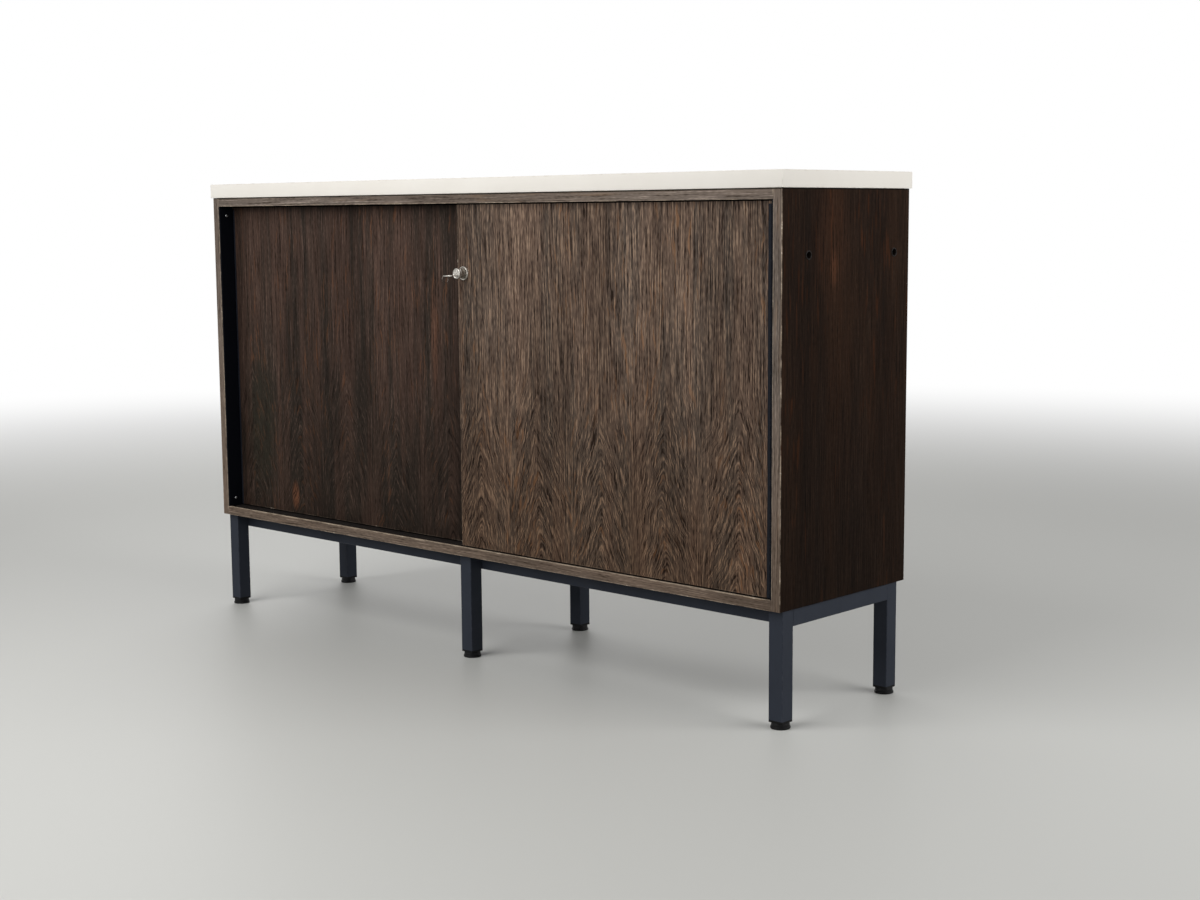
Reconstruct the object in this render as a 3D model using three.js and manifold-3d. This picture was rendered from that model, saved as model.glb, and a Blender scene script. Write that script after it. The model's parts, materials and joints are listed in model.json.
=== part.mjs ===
// Office credenza: a veneered carcass with two sliding doors on a six-legged square-tube base.
// Millimetres, +Z up, the floor at Z = 0. X runs along the width and the front faces -Y.

import * as THREE from "three";
import { RoundedBoxGeometry } from "three/addons/geometries/RoundedBoxGeometry.js";
import { mergeVertices } from "three/addons/utils/BufferGeometryUtils.js";
import Module from "manifold-3d";

const wasm = await Module();
wasm.setup();

// Carcass
const carcassWidth = 1700;
const carcassDepth = 400;
const carcassHeight = 762.5;
const panelThickness = 20;
const panelArris = 0.8;
const backThickness = 8;
const backRebate = 10; // how far the back panel is let into the panels round it
const backClearance = 0.5;

// Top board, raised on a field that leaves a shadow gap all round
const topThickness = 30;
const topOverhang = 4;
const topArris = 2;
const shadowGap = 2;
const shadowInset = 6; // from the carcass's faces in to the raised field

// Two round holes through the right side panel
const sideHoleRadius = 7.5;
const sideHoleDrop = 120; // below the carcass's top
const sideHoleFront = 79; // behind the carcass's front
const sideHoleRear = 50; // ahead of the carcass's rear

// Sliding doors: the right one runs in front, the left one behind it
const doorThickness = 22;
const doorArris = 0.8;
const frontDoorRecess = 4;
const doorSpacing = 10;
const doorTopGap = 2.5;
const doorBottomGap = 3;
const doorEndGap = 3; // between a closed door and its jamb strip
const doorMeetingOffset = 2; // the right door's inner edge from the cabinet's middle
const doorOverlap = 43;

// Tracks let into the top and bottom panels, and the tongue along each door's top edge
const grooveWidth = 8;
const upperGrooveDepth = 10;
const lowerGrooveDepth = 5;
const trackWall = 3;
const trackFloor = 2;
const trackClearance = 0.2;
const tongueThickness = 6;
const tongueReach = 7; // into the upper groove
const tongueInset = 2; // from the door's ends

// Rollers in the doors' bottom edges
const wheelRadius = 11;
const wheelWidth = 6;
const wheelCrown = 0.8;
const wheelTrackGap = 0.2;
const wheelSideGap = 1;
const wheelEndGap = 2;
const axleRadius = 1.5;
const axleClearance = 0.12;
const carrierLength = 60;
const carrierCheek = 3;
const carrierHeight = 24;
const carrierClearance = 0.3;
const rollerInset = 90; // from a door's end to the axle

// Finger pull along each door's outer edge
const pullWidth = 7;
const pullWall = 2;
const pullArris = 2.5;
const troughWidth = 10;
const troughDepth = 10;
const pullTopStop = 5; // the pull ends this far below the door's top
const pullClearance = 0.3;

// Jamb strips on the side panels' inner faces
const jambThickness = 3;
const jambWidth = 42;
const jambSetback = 1;

// Inside
const partitionClearance = 6; // behind the rear door
const shelfThickness = 20;
const shelfSetback = 8; // behind the partition's front edge
const shelfRearGap = 4;
const shelfSideGap = 1;
const pinRadius = 2.5;
const pinReach = 10; // how far a pin stands out under its shelf
const pinHoleDepth = 11;
const pinClearance = 0.2;
const pinSeatGap = 0.1;
const pinInset = 45; // from the shelf's front and rear edges
const pinPitch = 64;
const pinRowsEachWay = 2; // spare rows of holes above and below the shelf

// Push-cylinder lock near the right door's inner edge, popped out
const lockEdgeDistance = 20;
const lockHeight = 598.5; // above the carcass's underside
const flangeRadius = 14.2;
const flangeHeight = 4.5;
const flangeRim = 2;
const flangeDish = 2.4;
const housingRadius = 12;
const housingClearance = 0.3;
const housingRearInset = 0.5;
const housingWall = 2.5;
const plungerRadius = 9.8;
const plungerHeadRadius = 10.9;
const plungerHeadThickness = 4.7;
const plungerReach = 22.7; // ahead of the door's face
const plungerClearance = 0.3;
const plungerDish = 0.6;
const plungerEndGap = 1;
const lockTravel = 12;
const boltRadius = 4;
const boltRest = 7; // behind the door's inner face
const boltClearance = 0.3;
const boltChamfer = 0.8;
const keeperRadius = 7;
const keeperDepth = 14;
const keeperClearance = 0.3;
const keeperPlay = 0.8;

// Key plug, key and ring
const plugRadius = 4.5;
const plugDrop = 4.2; // below the lock's axis
const plugLength = 16;
const plugProud = 0.3;
const plugClearance = 0.15;
const keyThickness = 2.2;
const keyClearance = 0.3;
const bladeLength = 13;
const shankWidth = 7;
const bowReach = 54.5; // ahead of the door's face
const bowWidth = 25;
const bowLength = 19;
const bowSideRim = 2.5;
const bowEndRim = 2.2;
const ringRadius = 8.3;
const ringWire = 0.75;
const ringSeatGap = 0.6;

// Base frame of square tube
const tubeSize = 32;
const tubeWall = 2;
const tubeCorner = 1.5;
const tubeInnerCorner = 0.5;
const legLength = 206.5;
const legInsetSide = 4;
const legInsetFront = 14;
const legInsetRear = 18.5;
const spacerHeight = 1; // plates on the cross rails that carry the carcass
const spacerLength = 60;
const spacerInset = 30;
const weldSink = 0.5;

// Leg caps and levelling feet
const capFlange = 4;
const capPlug = 18;
const capClearance = 0.3;
const footHeight = 12;
const footBaseRadius = 19;
const footBaseHeight = 4.8;
const footNeckRadius = 17.6;
const footNeckTaper = 0.6;
const footChamfer = 1.2;
const footSeatGap = 0.3;
const footStemRadius = 4;
const footStemLength = 24;
const footStemClearance = 0.3;

// How finely round shapes are divided
const roundSides = 24;
const smallSides = 16;
const pinSides = 12;
const wireSides = 8;
const ringSteps = 32;
const arrisSteps = 1;
const topArrisSteps = 2;
const cornerSteps = 3;
const weldTolerance = 1e-3;
const overcut = 1; // how far a cutter stands out of the face that it enters

// Levels and planes that the pieces share
const capBottom = footHeight;
const legBottom = capBottom + capFlange;
const legTop = legBottom + legLength;
const carcassBottom = legTop + spacerHeight;
const carcassTop = carcassBottom + carcassHeight;
const innerBottom = carcassBottom + panelThickness;
const innerTop = carcassTop - panelThickness;
const innerHeight = innerTop - innerBottom;
const innerHalfWidth = carcassWidth / 2 - panelThickness;
const carcassFront = -carcassDepth / 2;
const carcassRear = carcassDepth / 2;
const backFront = carcassRear - backThickness;
const doorPitch = doorThickness + doorSpacing;
const frontDoorY = carcassFront + frontDoorRecess + doorThickness / 2;
const rearDoorY = frontDoorY + doorPitch;
const frontDoorFace = frontDoorY - doorThickness / 2;
const doorBottom = innerBottom + doorBottomGap;
const doorTop = innerTop - doorTopGap;
const doorHeight = doorTop - doorBottom;
const doorOuterX = innerHalfWidth - jambThickness - doorEndGap;
const partitionFront = rearDoorY + doorThickness / 2 + partitionClearance;
const lockX = doorMeetingOffset + lockEdgeDistance;
const lockZ = carcassBottom + lockHeight;

// Materials
function finish(color, roughness, metalness) {
  return new THREE.MeshStandardMaterial({ color, roughness, metalness });
}
const veneer = finish(0x4a3a30, 0.5, 0);
const laminate = finish(0xe8e2dc, 0.4, 0);
const anthracite = finish(0x343842, 0.45, 0.3);
const jambPaint = finish(0x14161c, 0.5, 0);
const blackPlastic = finish(0x121212, 0.5, 0);
const trackPlastic = finish(0x171310, 0.5, 0);
const nickel = finish(0xc8c4bc, 0.3, 1);
const steel = finish(0xa0a0a0, 0.4, 1);

// Solids: closed meshes are joined and cut here
function toSolid(geometry) {
  const bare = new THREE.BufferGeometry();
  bare.setAttribute("position", geometry.getAttribute("position"));
  bare.setIndex(geometry.index);
  const merged = mergeVertices(bare, weldTolerance);
  return new wasm.Manifold(
    new wasm.Mesh({
      numProp: 3,
      vertProperties: merged.getAttribute("position").array,
      triVerts: new Uint32Array(merged.index.array),
    }),
  );
}

function toGeometry(solid) {
  const mesh = solid.getMesh();
  const geometry = new THREE.BufferGeometry();
  geometry.setAttribute("position", new THREE.BufferAttribute(mesh.vertProperties, mesh.numProp));
  geometry.setIndex(new THREE.BufferAttribute(mesh.triVerts, 1));
  geometry.computeVertexNormals();
  return geometry;
}

function cut(body, tools) {
  return toGeometry(tools.reduce((rest, tool) => rest.subtract(toSolid(tool)), toSolid(body)));
}

function join(pieces) {
  return toGeometry(pieces.map(toSolid).reduce((whole, piece) => whole.add(piece)));
}

// A box between two corners
function boxBetween(low, high) {
  const size = high.map((value, axis) => value - low[axis]);
  const middle = high.map((value, axis) => (value + low[axis]) / 2);
  return new THREE.BoxGeometry(...size).translate(...middle);
}

// A board with eased edges, between two corners
function boardBetween(low, high, arris, steps = arrisSteps) {
  const size = high.map((value, axis) => value - low[axis]);
  const middle = high.map((value, axis) => (value + low[axis]) / 2);
  return new RoundedBoxGeometry(...size, steps, arris).translate(...middle);
}

function rodAlongX(radius, fromX, toX, y, z, sides) {
  const rod = new THREE.CylinderGeometry(radius, radius, toX - fromX, sides).rotateZ(Math.PI / 2);
  return rod.translate((fromX + toX) / 2, y, z);
}

function rodAlongY(radius, fromY, toY, x, z, sides) {
  const rod = new THREE.CylinderGeometry(radius, radius, toY - fromY, sides);
  return rod.translate(x, (fromY + toY) / 2, z);
}

function rodAlongZ(radius, fromZ, toZ, x, y, sides) {
  const rod = new THREE.CylinderGeometry(radius, radius, toZ - fromZ, sides).rotateX(Math.PI / 2);
  return rod.translate(x, y, (fromZ + toZ) / 2);
}

// A turned piece whose profile runs [radius, height], about +Z
function turnedUpright(profile, sides) {
  const points = profile.map(([radius, height]) => new THREE.Vector2(radius, height));
  return new THREE.LatheGeometry(points, sides).rotateX(Math.PI / 2);
}

// A turned piece whose profile runs [radius, distance ahead], about an axis that points to the front
function turnedForward(profile, sides) {
  return turnedUpright(profile, sides).rotateX(Math.PI / 2);
}

function roundedSquare(target, size, radius) {
  const half = size / 2;
  const flat = half - radius;
  target.moveTo(flat, -half);
  target.absarc(flat, -flat, radius, -Math.PI / 2, 0, false);
  target.absarc(flat, flat, radius, 0, Math.PI / 2, false);
  target.absarc(-flat, flat, radius, Math.PI / 2, Math.PI, false);
  target.absarc(-flat, -flat, radius, Math.PI, 1.5 * Math.PI, false);
  target.closePath();
  return target;
}

function extrude(shape, depth, steps = cornerSteps) {
  return new THREE.ExtrudeGeometry(shape, { depth, bevelEnabled: false, curveSegments: steps });
}

// An upright square tube with open ends, from Z = 0
function squareTube(length) {
  const shape = roundedSquare(new THREE.Shape(), tubeSize, tubeCorner);
  shape.holes.push(roundedSquare(new THREE.Path(), tubeSize - 2 * tubeWall, tubeInnerCorner));
  return extrude(shape, length);
}

const cabinet = new THREE.Group();

function place(name, geometry, material, x = 0, y = 0, z = 0) {
  const mesh = new THREE.Mesh(geometry, material);
  mesh.name = name;
  mesh.position.set(x, y, z);
  cabinet.add(mesh);
}

// Carcass panels
const trackWidth = doorPitch + grooveWidth + 2 * trackWall;
const trackY = (frontDoorY + rearDoorY) / 2;
const upperTrackHeight = upperGrooveDepth + trackFloor;
const lowerTrackHeight = lowerGrooveDepth + trackFloor;
const trackPocketHalf = trackWidth / 2 + trackClearance;
const backHalfWidth = carcassWidth / 2 - panelThickness + backRebate;

function makeTopBoard() {
  const halfWidth = carcassWidth / 2 + topOverhang;
  const halfDepth = carcassDepth / 2 + topOverhang;
  const fieldX = carcassWidth / 2 - shadowInset;
  const fieldY = carcassDepth / 2 - shadowInset;
  const underside = carcassTop + shadowGap;
  const slab = boardBetween(
    [-halfWidth, -halfDepth, underside],
    [halfWidth, halfDepth, underside + topThickness],
    topArris,
    topArrisSteps,
  );
  const field = boxBetween([-fieldX, -fieldY, carcassTop], [fieldX, fieldY, underside + overcut]);
  place("top_board", join([slab, field]), laminate);
}

function makeLevelPanel(name, low, high, trackLow, trackHigh, rebateLow, rebateHigh) {
  const board = boardBetween(
    [-innerHalfWidth, carcassFront, low],
    [innerHalfWidth, carcassRear, high],
    panelArris,
  );
  const reach = innerHalfWidth + overcut;
  const trackPocket = boxBetween(
    [-reach, trackY - trackPocketHalf, trackLow],
    [reach, trackY + trackPocketHalf, trackHigh],
  );
  const rebate = boxBetween([-reach, backFront, rebateLow], [reach, carcassRear + overcut, rebateHigh]);
  place(name, cut(board, [trackPocket, rebate]), veneer);
}

// Rows of shelf-pin holes at the two columns, from one X to another
const shelfFront = partitionFront + shelfSetback;
const shelfRear = backFront - shelfRearGap;
const shelfBottom = (innerBottom + innerTop - shelfThickness) / 2;
const pinZ = shelfBottom - pinRadius - pinSeatGap;
const pinColumns = [
  ["front", shelfFront + pinInset],
  ["rear", shelfRear - pinInset],
];

function pinHoles(fromX, toX) {
  const holes = [];
  for (const [, y] of pinColumns) {
    for (let row = -pinRowsEachWay; row <= pinRowsEachWay; row += 1) {
      const z = pinZ + row * pinPitch;
      holes.push(rodAlongX(pinRadius + pinClearance, fromX, toX, y, z, pinSides));
    }
  }
  return holes;
}

function makeSidePanel(side, name, extraHoles) {
  const outer = (side * carcassWidth) / 2;
  const inner = side * innerHalfWidth;
  const board = boardBetween(
    [Math.min(outer, inner), carcassFront, carcassBottom],
    [Math.max(outer, inner), carcassRear, carcassTop],
    panelArris,
  );
  const rebateX = [side * backHalfWidth, inner - side * overcut];
  const rebateInset = panelThickness - backRebate;
  const rebate = boxBetween(
    [Math.min(...rebateX), backFront, carcassBottom + rebateInset],
    [Math.max(...rebateX), carcassRear + overcut, carcassTop - rebateInset],
  );
  const holeX = [inner - side * overcut, inner + side * pinHoleDepth];
  const holes = pinHoles(Math.min(...holeX), Math.max(...holeX));
  place(name, cut(board, [rebate, ...holes, ...extraHoles]), veneer);
}

function makeCarcass() {
  makeTopBoard();
  makeLevelPanel(
    "carcass_top_panel",
    innerTop,
    carcassTop,
    innerTop - overcut,
    innerTop + upperTrackHeight,
    innerTop - overcut,
    innerTop + backRebate,
  );
  makeLevelPanel(
    "carcass_bottom_panel",
    carcassBottom,
    innerBottom,
    innerBottom - lowerTrackHeight,
    innerBottom + overcut,
    innerBottom - backRebate,
    innerBottom + overcut,
  );
  const sideHoles = [carcassFront + sideHoleFront, carcassRear - sideHoleRear].map((y) =>
    rodAlongX(
      sideHoleRadius,
      innerHalfWidth - overcut,
      carcassWidth / 2 + overcut,
      y,
      carcassTop - sideHoleDrop,
      smallSides,
    ),
  );
  makeSidePanel(-1, "side_panel_left", []);
  makeSidePanel(1, "side_panel_right", sideHoles);
  const backX = backHalfWidth - backClearance;
  const backInset = panelThickness - backRebate + backClearance;
  const back = boxBetween(
    [-backX, backFront, carcassBottom + backInset],
    [backX, carcassRear, carcassTop - backInset],
  );
  place("back_panel", back, veneer);
}

// Partition, shelves and pins
function makeInside() {
  const half = panelThickness / 2;
  const partition = boardBetween(
    [-half, partitionFront, innerBottom],
    [half, backFront, innerTop],
    panelArris,
  );
  const throughHoles = pinHoles(-half - overcut, half + overcut);
  place("centre_partition", cut(partition, throughHoles), veneer);
  for (const [side, word] of [
    [-1, "left"],
    [1, "right"],
  ]) {
    const ends = [side * (half + shelfSideGap), side * (innerHalfWidth - shelfSideGap)];
    const shelf = boardBetween(
      [Math.min(...ends), shelfFront, shelfBottom],
      [Math.max(...ends), shelfRear, shelfBottom + shelfThickness],
      panelArris,
    );
    place("shelf_" + word, shelf, veneer);
  }
  const sideSeat = innerHalfWidth + pinHoleDepth - pinClearance;
  const sideTip = innerHalfWidth - pinReach;
  for (const [column, y] of pinColumns) {
    const pin = (name, fromX, toX) =>
      place(name + column, rodAlongX(pinRadius, fromX, toX, y, pinZ, pinSides), steel);
    pin("shelf_pin_left_", -sideSeat, -sideTip);
    pin("shelf_pin_centre_", -half - pinReach, half + pinReach);
    pin("shelf_pin_right_", sideTip, sideSeat);
  }
}

// Double tracks: a channel section, drawn [across, up] with its grooves open downwards
function trackSection(grooveDepth) {
  const height = grooveDepth + trackFloor;
  const shape = new THREE.Shape();
  shape.moveTo(-trackWidth / 2, 0);
  for (const middle of [-doorPitch / 2, doorPitch / 2]) {
    shape.lineTo(middle - grooveWidth / 2, 0);
    shape.lineTo(middle - grooveWidth / 2, grooveDepth);
    shape.lineTo(middle + grooveWidth / 2, grooveDepth);
    shape.lineTo(middle + grooveWidth / 2, 0);
  }
  shape.lineTo(trackWidth / 2, 0);
  shape.lineTo(trackWidth / 2, height);
  shape.lineTo(-trackWidth / 2, height);
  shape.closePath();
  return shape;
}

// Stands a section's drawing plane across the cabinet and runs it along X
function alongX(section, length) {
  const bar = extrude(section, length).translate(0, 0, -length / 2);
  const across = new THREE.Vector3(0, 1, 0);
  const up = new THREE.Vector3(0, 0, 1);
  const along = new THREE.Vector3(1, 0, 0);
  return bar.applyMatrix4(new THREE.Matrix4().makeBasis(across, up, along));
}

function makeTracks() {
  const length = 2 * innerHalfWidth;
  place("upper_track", alongX(trackSection(upperGrooveDepth), length), trackPlastic, 0, trackY, innerTop);
  const lower = alongX(trackSection(lowerGrooveDepth), length).rotateX(Math.PI);
  place("lower_track", lower, trackPlastic, 0, trackY, innerBottom);
}

function makeJambs() {
  for (const [side, word] of [
    [-1, "left"],
    [1, "right"],
  ]) {
    const faces = [side * innerHalfWidth, side * (innerHalfWidth - jambThickness)];
    const front = carcassFront + jambSetback;
    const strip = boxBetween(
      [Math.min(...faces), front, innerBottom],
      [Math.max(...faces), front + jambWidth, innerTop],
    );
    place("jamb_strip_" + word, strip, jambPaint);
  }
}

// Finger pull: drawn with the door's edge at X = 0 and the trough open towards +X
const pullBossDepth = troughDepth + pullWall - pullWidth;
const pullBossHalf = troughWidth / 2 + pullWall;
const pullLength = doorHeight - pullTopStop - pullClearance;

function pullSection() {
  const half = doorThickness / 2;
  const trough = troughWidth / 2;
  const troughCentre = pullWidth - troughDepth + trough;
  const shape = new THREE.Shape();
  shape.moveTo(0, -half);
  shape.lineTo(pullWidth - pullArris, -half);
  shape.absarc(pullWidth - pullArris, -half + pullArris, pullArris, -Math.PI / 2, 0, false);
  shape.lineTo(pullWidth, -trough);
  shape.lineTo(troughCentre, -trough);
  shape.absarc(troughCentre, 0, trough, 1.5 * Math.PI, Math.PI / 2, true);
  shape.lineTo(pullWidth, trough);
  shape.absarc(pullWidth - pullArris, half - pullArris, pullArris, 0, Math.PI / 2, false);
  shape.lineTo(0, half);
  shape.lineTo(0, pullBossHalf);
  shape.lineTo(-pullBossDepth, pullBossHalf);
  shape.lineTo(-pullBossDepth, -pullBossHalf);
  shape.lineTo(0, -pullBossHalf);
  shape.closePath();
  return shape;
}

// Roller carrier: a block with a slot for its wheel and a fixed axle across the slot, from its bottom up
const carrierWidth = wheelWidth + 2 * wheelSideGap + 2 * carrierCheek;
const axleZ = innerBottom - lowerGrooveDepth + wheelTrackGap + wheelRadius;
const axleRise = axleZ - doorBottom;

function carrierBlock() {
  const slotHalfLength = wheelRadius + wheelEndGap;
  const slotHalfWidth = wheelWidth / 2 + wheelSideGap;
  const block = boxBetween(
    [-carrierLength / 2, -carrierWidth / 2, 0],
    [carrierLength / 2, carrierWidth / 2, carrierHeight],
  );
  const slot = boxBetween(
    [-slotHalfLength, -slotHalfWidth, -overcut],
    [slotHalfLength, slotHalfWidth, axleRise + wheelRadius + wheelEndGap],
  );
  const axleEnd = slotHalfWidth + overcut;
  const axle = rodAlongY(axleRadius, -axleEnd, axleEnd, 0, axleRise, smallSides);
  return join([cut(block, [slot]), axle]);
}

function wheel() {
  const half = wheelWidth / 2;
  const bore = axleRadius + axleClearance;
  const profile = [
    [bore, -half],
    [wheelRadius - wheelCrown, -half],
    [wheelRadius, -half + wheelCrown],
    [wheelRadius, half - wheelCrown],
    [wheelRadius - wheelCrown, half],
    [bore, half],
    [bore, -half],
  ];
  return turnedForward(profile, roundSides);
}

// A door: side is the end that its pull is on, -1 left or 1 right
function makeDoor(side, name, innerX, y, lockCut) {
  const outerX = side * doorOuterX;
  const lowX = Math.min(innerX, outerX);
  const highX = Math.max(innerX, outerX);
  const half = doorThickness / 2;
  const board = boardBetween([lowX, y - half, doorBottom], [highX, y + half, doorTop], doorArris);
  const tongue = boxBetween(
    [lowX + tongueInset, y - tongueThickness / 2, doorTop - overcut],
    [highX - tongueInset, y + tongueThickness / 2, innerTop + tongueReach],
  );
  const pullX = outerX - side * pullWidth;
  const pullTop = doorTop - pullTopStop;
  const edgeX = [pullX, outerX + side * overcut];
  const bossX = [pullX - side * (pullBossDepth + pullClearance), pullX + side * overcut];
  const bossHalf = pullBossHalf + pullClearance;
  const edgeCut = boxBetween(
    [Math.min(...edgeX), y - half - overcut, doorBottom - overcut],
    [Math.max(...edgeX), y + half + overcut, pullTop],
  );
  const bossCut = boxBetween(
    [Math.min(...bossX), y - bossHalf, doorBottom - overcut],
    [Math.max(...bossX), y + bossHalf, pullTop],
  );
  const axles = [
    ["outer", outerX - side * rollerInset],
    ["inner", innerX + side * rollerInset],
  ];
  const mortises = axles.map(([, x]) =>
    boxBetween(
      [
        x - carrierLength / 2 - carrierClearance,
        y - carrierWidth / 2 - carrierClearance,
        doorBottom - overcut,
      ],
      [
        x + carrierLength / 2 + carrierClearance,
        y + carrierWidth / 2 + carrierClearance,
        doorBottom + carrierHeight,
      ],
    ),
  );
  const cuts = [edgeCut, bossCut, ...mortises, lockCut];
  place(name, cut(join([board, tongue]), cuts), veneer);

  const pull = extrude(pullSection(), pullLength);
  pull.rotateZ(side > 0 ? 0 : Math.PI);
  place(name + "_pull", pull, anthracite, pullX, y, doorBottom);
  for (const [word, x] of axles) {
    place(name + "_carrier_" + word, carrierBlock(), trackPlastic, x, y, doorBottom);
    place(name + "_roller_" + word, wheel(), blackPlastic, x, y, axleZ);
  }
}

function makeDoors() {
  const lockHole = rodAlongY(
    housingRadius + housingClearance,
    frontDoorFace - overcut,
    frontDoorFace + doorThickness + overcut,
    lockX,
    lockZ,
    roundSides,
  );
  const rearFace = rearDoorY - doorThickness / 2;
  const keeperHole = rodAlongY(
    keeperRadius + keeperClearance,
    rearFace - overcut,
    rearFace + keeperDepth + keeperClearance,
    lockX,
    lockZ,
    roundSides,
  );
  makeDoor(1, "door_right", doorMeetingOffset, frontDoorY, lockHole);
  makeDoor(-1, "door_left", doorMeetingOffset + doorOverlap, rearDoorY, keeperHole);

  const bore = boltRadius + keeperPlay;
  const bush = [
    [bore, -keeperDepth],
    [keeperRadius, -keeperDepth],
    [keeperRadius, 0],
    [bore + boltChamfer, 0],
    [bore, -boltChamfer],
    [bore, -keeperDepth],
  ];
  place("lock_keeper", turnedForward(bush, roundSides), nickel, lockX, rearFace + keeperClearance, lockZ);
}

// Lock: turned profiles run [radius, distance ahead of the right door's face]
function makeLock() {
  const housingRear = housingRearInset - doorThickness;
  const cavityRear = housingRear + housingWall;
  const housingBore = plungerRadius + plungerClearance;
  const boltBore = boltRadius + boltClearance;
  const dishFloor = flangeHeight - flangeDish;
  const housing = [
    [boltBore, housingRear],
    [housingRadius, housingRear],
    [housingRadius, 0],
    [flangeRadius, 0],
    [flangeRadius, flangeHeight - flangeRim / 2],
    [flangeRadius - flangeRim / 2, flangeHeight],
    [flangeRadius - flangeRim, flangeHeight],
    [housingBore + flangeRim / 2, dishFloor],
    [housingBore, dishFloor],
    [housingBore, cavityRear],
    [boltBore, cavityRear],
    [boltBore, housingRear],
  ];
  place("lock_housing", turnedForward(housing, roundSides), nickel, lockX, frontDoorFace, lockZ);

  const boltTip = -doorThickness - boltRest;
  const bodyRear = cavityRear + lockTravel + plungerEndGap;
  const headRear = plungerReach - plungerHeadThickness;
  const headStep = plungerHeadRadius - plungerRadius;
  const plungerFace = plungerReach - plungerDish;
  const plunger = [
    [0, boltTip],
    [boltRadius - boltChamfer, boltTip],
    [boltRadius, boltTip + boltChamfer],
    [boltRadius, bodyRear],
    [plungerRadius, bodyRear],
    [plungerRadius, headRear],
    [plungerHeadRadius, headRear + headStep],
    [plungerHeadRadius, plungerReach - headStep],
    [plungerHeadRadius - headStep, plungerReach],
    [plungerHeadRadius - headStep - plungerDish, plungerReach],
    [plungerHeadRadius - headStep - 2 * plungerDish, plungerFace],
    [0, plungerFace],
  ];
  const plugRear = plungerFace - plugLength;
  const plugBore = rodAlongY(
    plugRadius + plugClearance,
    -plungerFace - overcut,
    -plugRear,
    0,
    -plugDrop,
    roundSides,
  );
  const plungerBody = cut(turnedForward(plunger, roundSides), [plugBore]);
  place("lock_plunger", plungerBody, nickel, lockX, frontDoorFace, lockZ);

  const keyZ = lockZ - plugDrop;
  const plugFace = plungerFace + plugProud;
  const bladeTip = plugFace - bladeLength;
  const plug = rodAlongY(plugRadius, -plugFace, -plugRear - plugClearance, 0, 0, roundSides);
  const slotHalf = shankWidth / 2 + keyClearance;
  const slotRise = keyThickness / 2 + keyClearance;
  const slot = boxBetween(
    [-slotHalf, -plugFace - overcut, -slotRise],
    [slotHalf, -bladeTip + keyClearance, slotRise],
  );
  place("lock_plug", cut(plug, [slot]), nickel, lockX, frontDoorFace, keyZ);

  const bowCentre = bowReach - bowLength / 2;
  const bow = new THREE.Shape();
  bow.absellipse(0, -bowCentre, bowWidth / 2, bowLength / 2, 0, 2 * Math.PI);
  const eye = new THREE.Path();
  eye.absellipse(0, -bowCentre, bowWidth / 2 - bowSideRim, bowLength / 2 - bowEndRim, 0, 2 * Math.PI);
  bow.holes.push(eye);
  const bowRing = extrude(bow, keyThickness, roundSides).translate(0, 0, -keyThickness / 2);
  const shankEnd = bowReach - bowLength + bowEndRim / 2;
  const shank = boxBetween(
    [-shankWidth / 2, -shankEnd, -keyThickness / 2],
    [shankWidth / 2, -bladeTip, keyThickness / 2],
  );
  place("lock_key", join([bowRing, shank]), nickel, lockX, frontDoorFace, keyZ);

  const ring = new THREE.TorusGeometry(ringRadius, ringWire, wireSides, ringSteps).rotateY(Math.PI / 2);
  const ringZ = keyZ + keyThickness / 2 + ringSeatGap + ringWire - ringRadius;
  const ringAhead = bowReach - bowEndRim / 2;
  place("key_ring", ring, steel, lockX, frontDoorFace - ringAhead, ringZ);
  return ringAhead + ringRadius + ringWire;
}

// Base frame
const legSideX = carcassWidth / 2 - legInsetSide - tubeSize / 2;
const legFrontY = carcassFront + legInsetFront + tubeSize / 2;
const legRearY = carcassRear - legInsetRear - tubeSize / 2;
const railZ = legTop - tubeSize / 2;
const longRailFrontY = legFrontY + tubeSize;
const longRailRearY = legRearY - tubeSize;

function makeCrossRail(name, x, fromY, toY) {
  const length = toY - fromY;
  const tube = squareTube(length).translate(0, 0, -length / 2).rotateX(Math.PI / 2);
  const plates = [-1, 1].map((end) => {
    const outer = end * (length / 2 - spacerInset);
    const inner = outer - end * spacerLength;
    return boxBetween(
      [tubeCorner - tubeSize / 2, Math.min(outer, inner), tubeSize / 2 - weldSink],
      [tubeSize / 2 - tubeCorner, Math.max(outer, inner), tubeSize / 2 + spacerHeight],
    );
  });
  place(name, join([tube, ...plates]), anthracite, x, (fromY + toY) / 2, railZ);
}

function makeLongRail(name, y) {
  const length = 2 * (legSideX - tubeSize / 2);
  const tube = squareTube(length).translate(0, 0, -length / 2).rotateY(Math.PI / 2);
  place(name, tube, anthracite, 0, y, railZ);
}

// A cap plugs the leg's lower end and holds the foot's threaded stem
function legCap() {
  const flange = extrude(roundedSquare(new THREE.Shape(), tubeSize, tubeCorner), capFlange);
  const half = tubeSize / 2 - tubeWall - capClearance;
  const plug = boxBetween([-half, -half, capFlange - weldSink], [half, half, capFlange + capPlug]);
  const boreTop = capFlange + capPlug + overcut;
  const bore = rodAlongZ(footStemRadius + footStemClearance, -overcut, boreTop, 0, 0, smallSides);
  return cut(join([flange, plug]), [bore]);
}

function levellingFoot() {
  const seat = footHeight - footSeatGap;
  const stemTop = footHeight + footStemLength;
  const profile = [
    [0, 0],
    [footBaseRadius - footChamfer, 0],
    [footBaseRadius, footChamfer],
    [footBaseRadius, footBaseHeight - footChamfer],
    [footBaseRadius - footChamfer, footBaseHeight],
    [footNeckRadius, footBaseHeight],
    [footNeckRadius - footNeckTaper, seat - footChamfer],
    [footNeckRadius - footNeckTaper - footChamfer, seat],
    [footStemRadius, seat],
    [footStemRadius, stemTop - boltChamfer],
    [footStemRadius - boltChamfer, stemTop],
    [0, stemTop],
  ];
  return turnedUpright(profile, roundSides);
}

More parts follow.
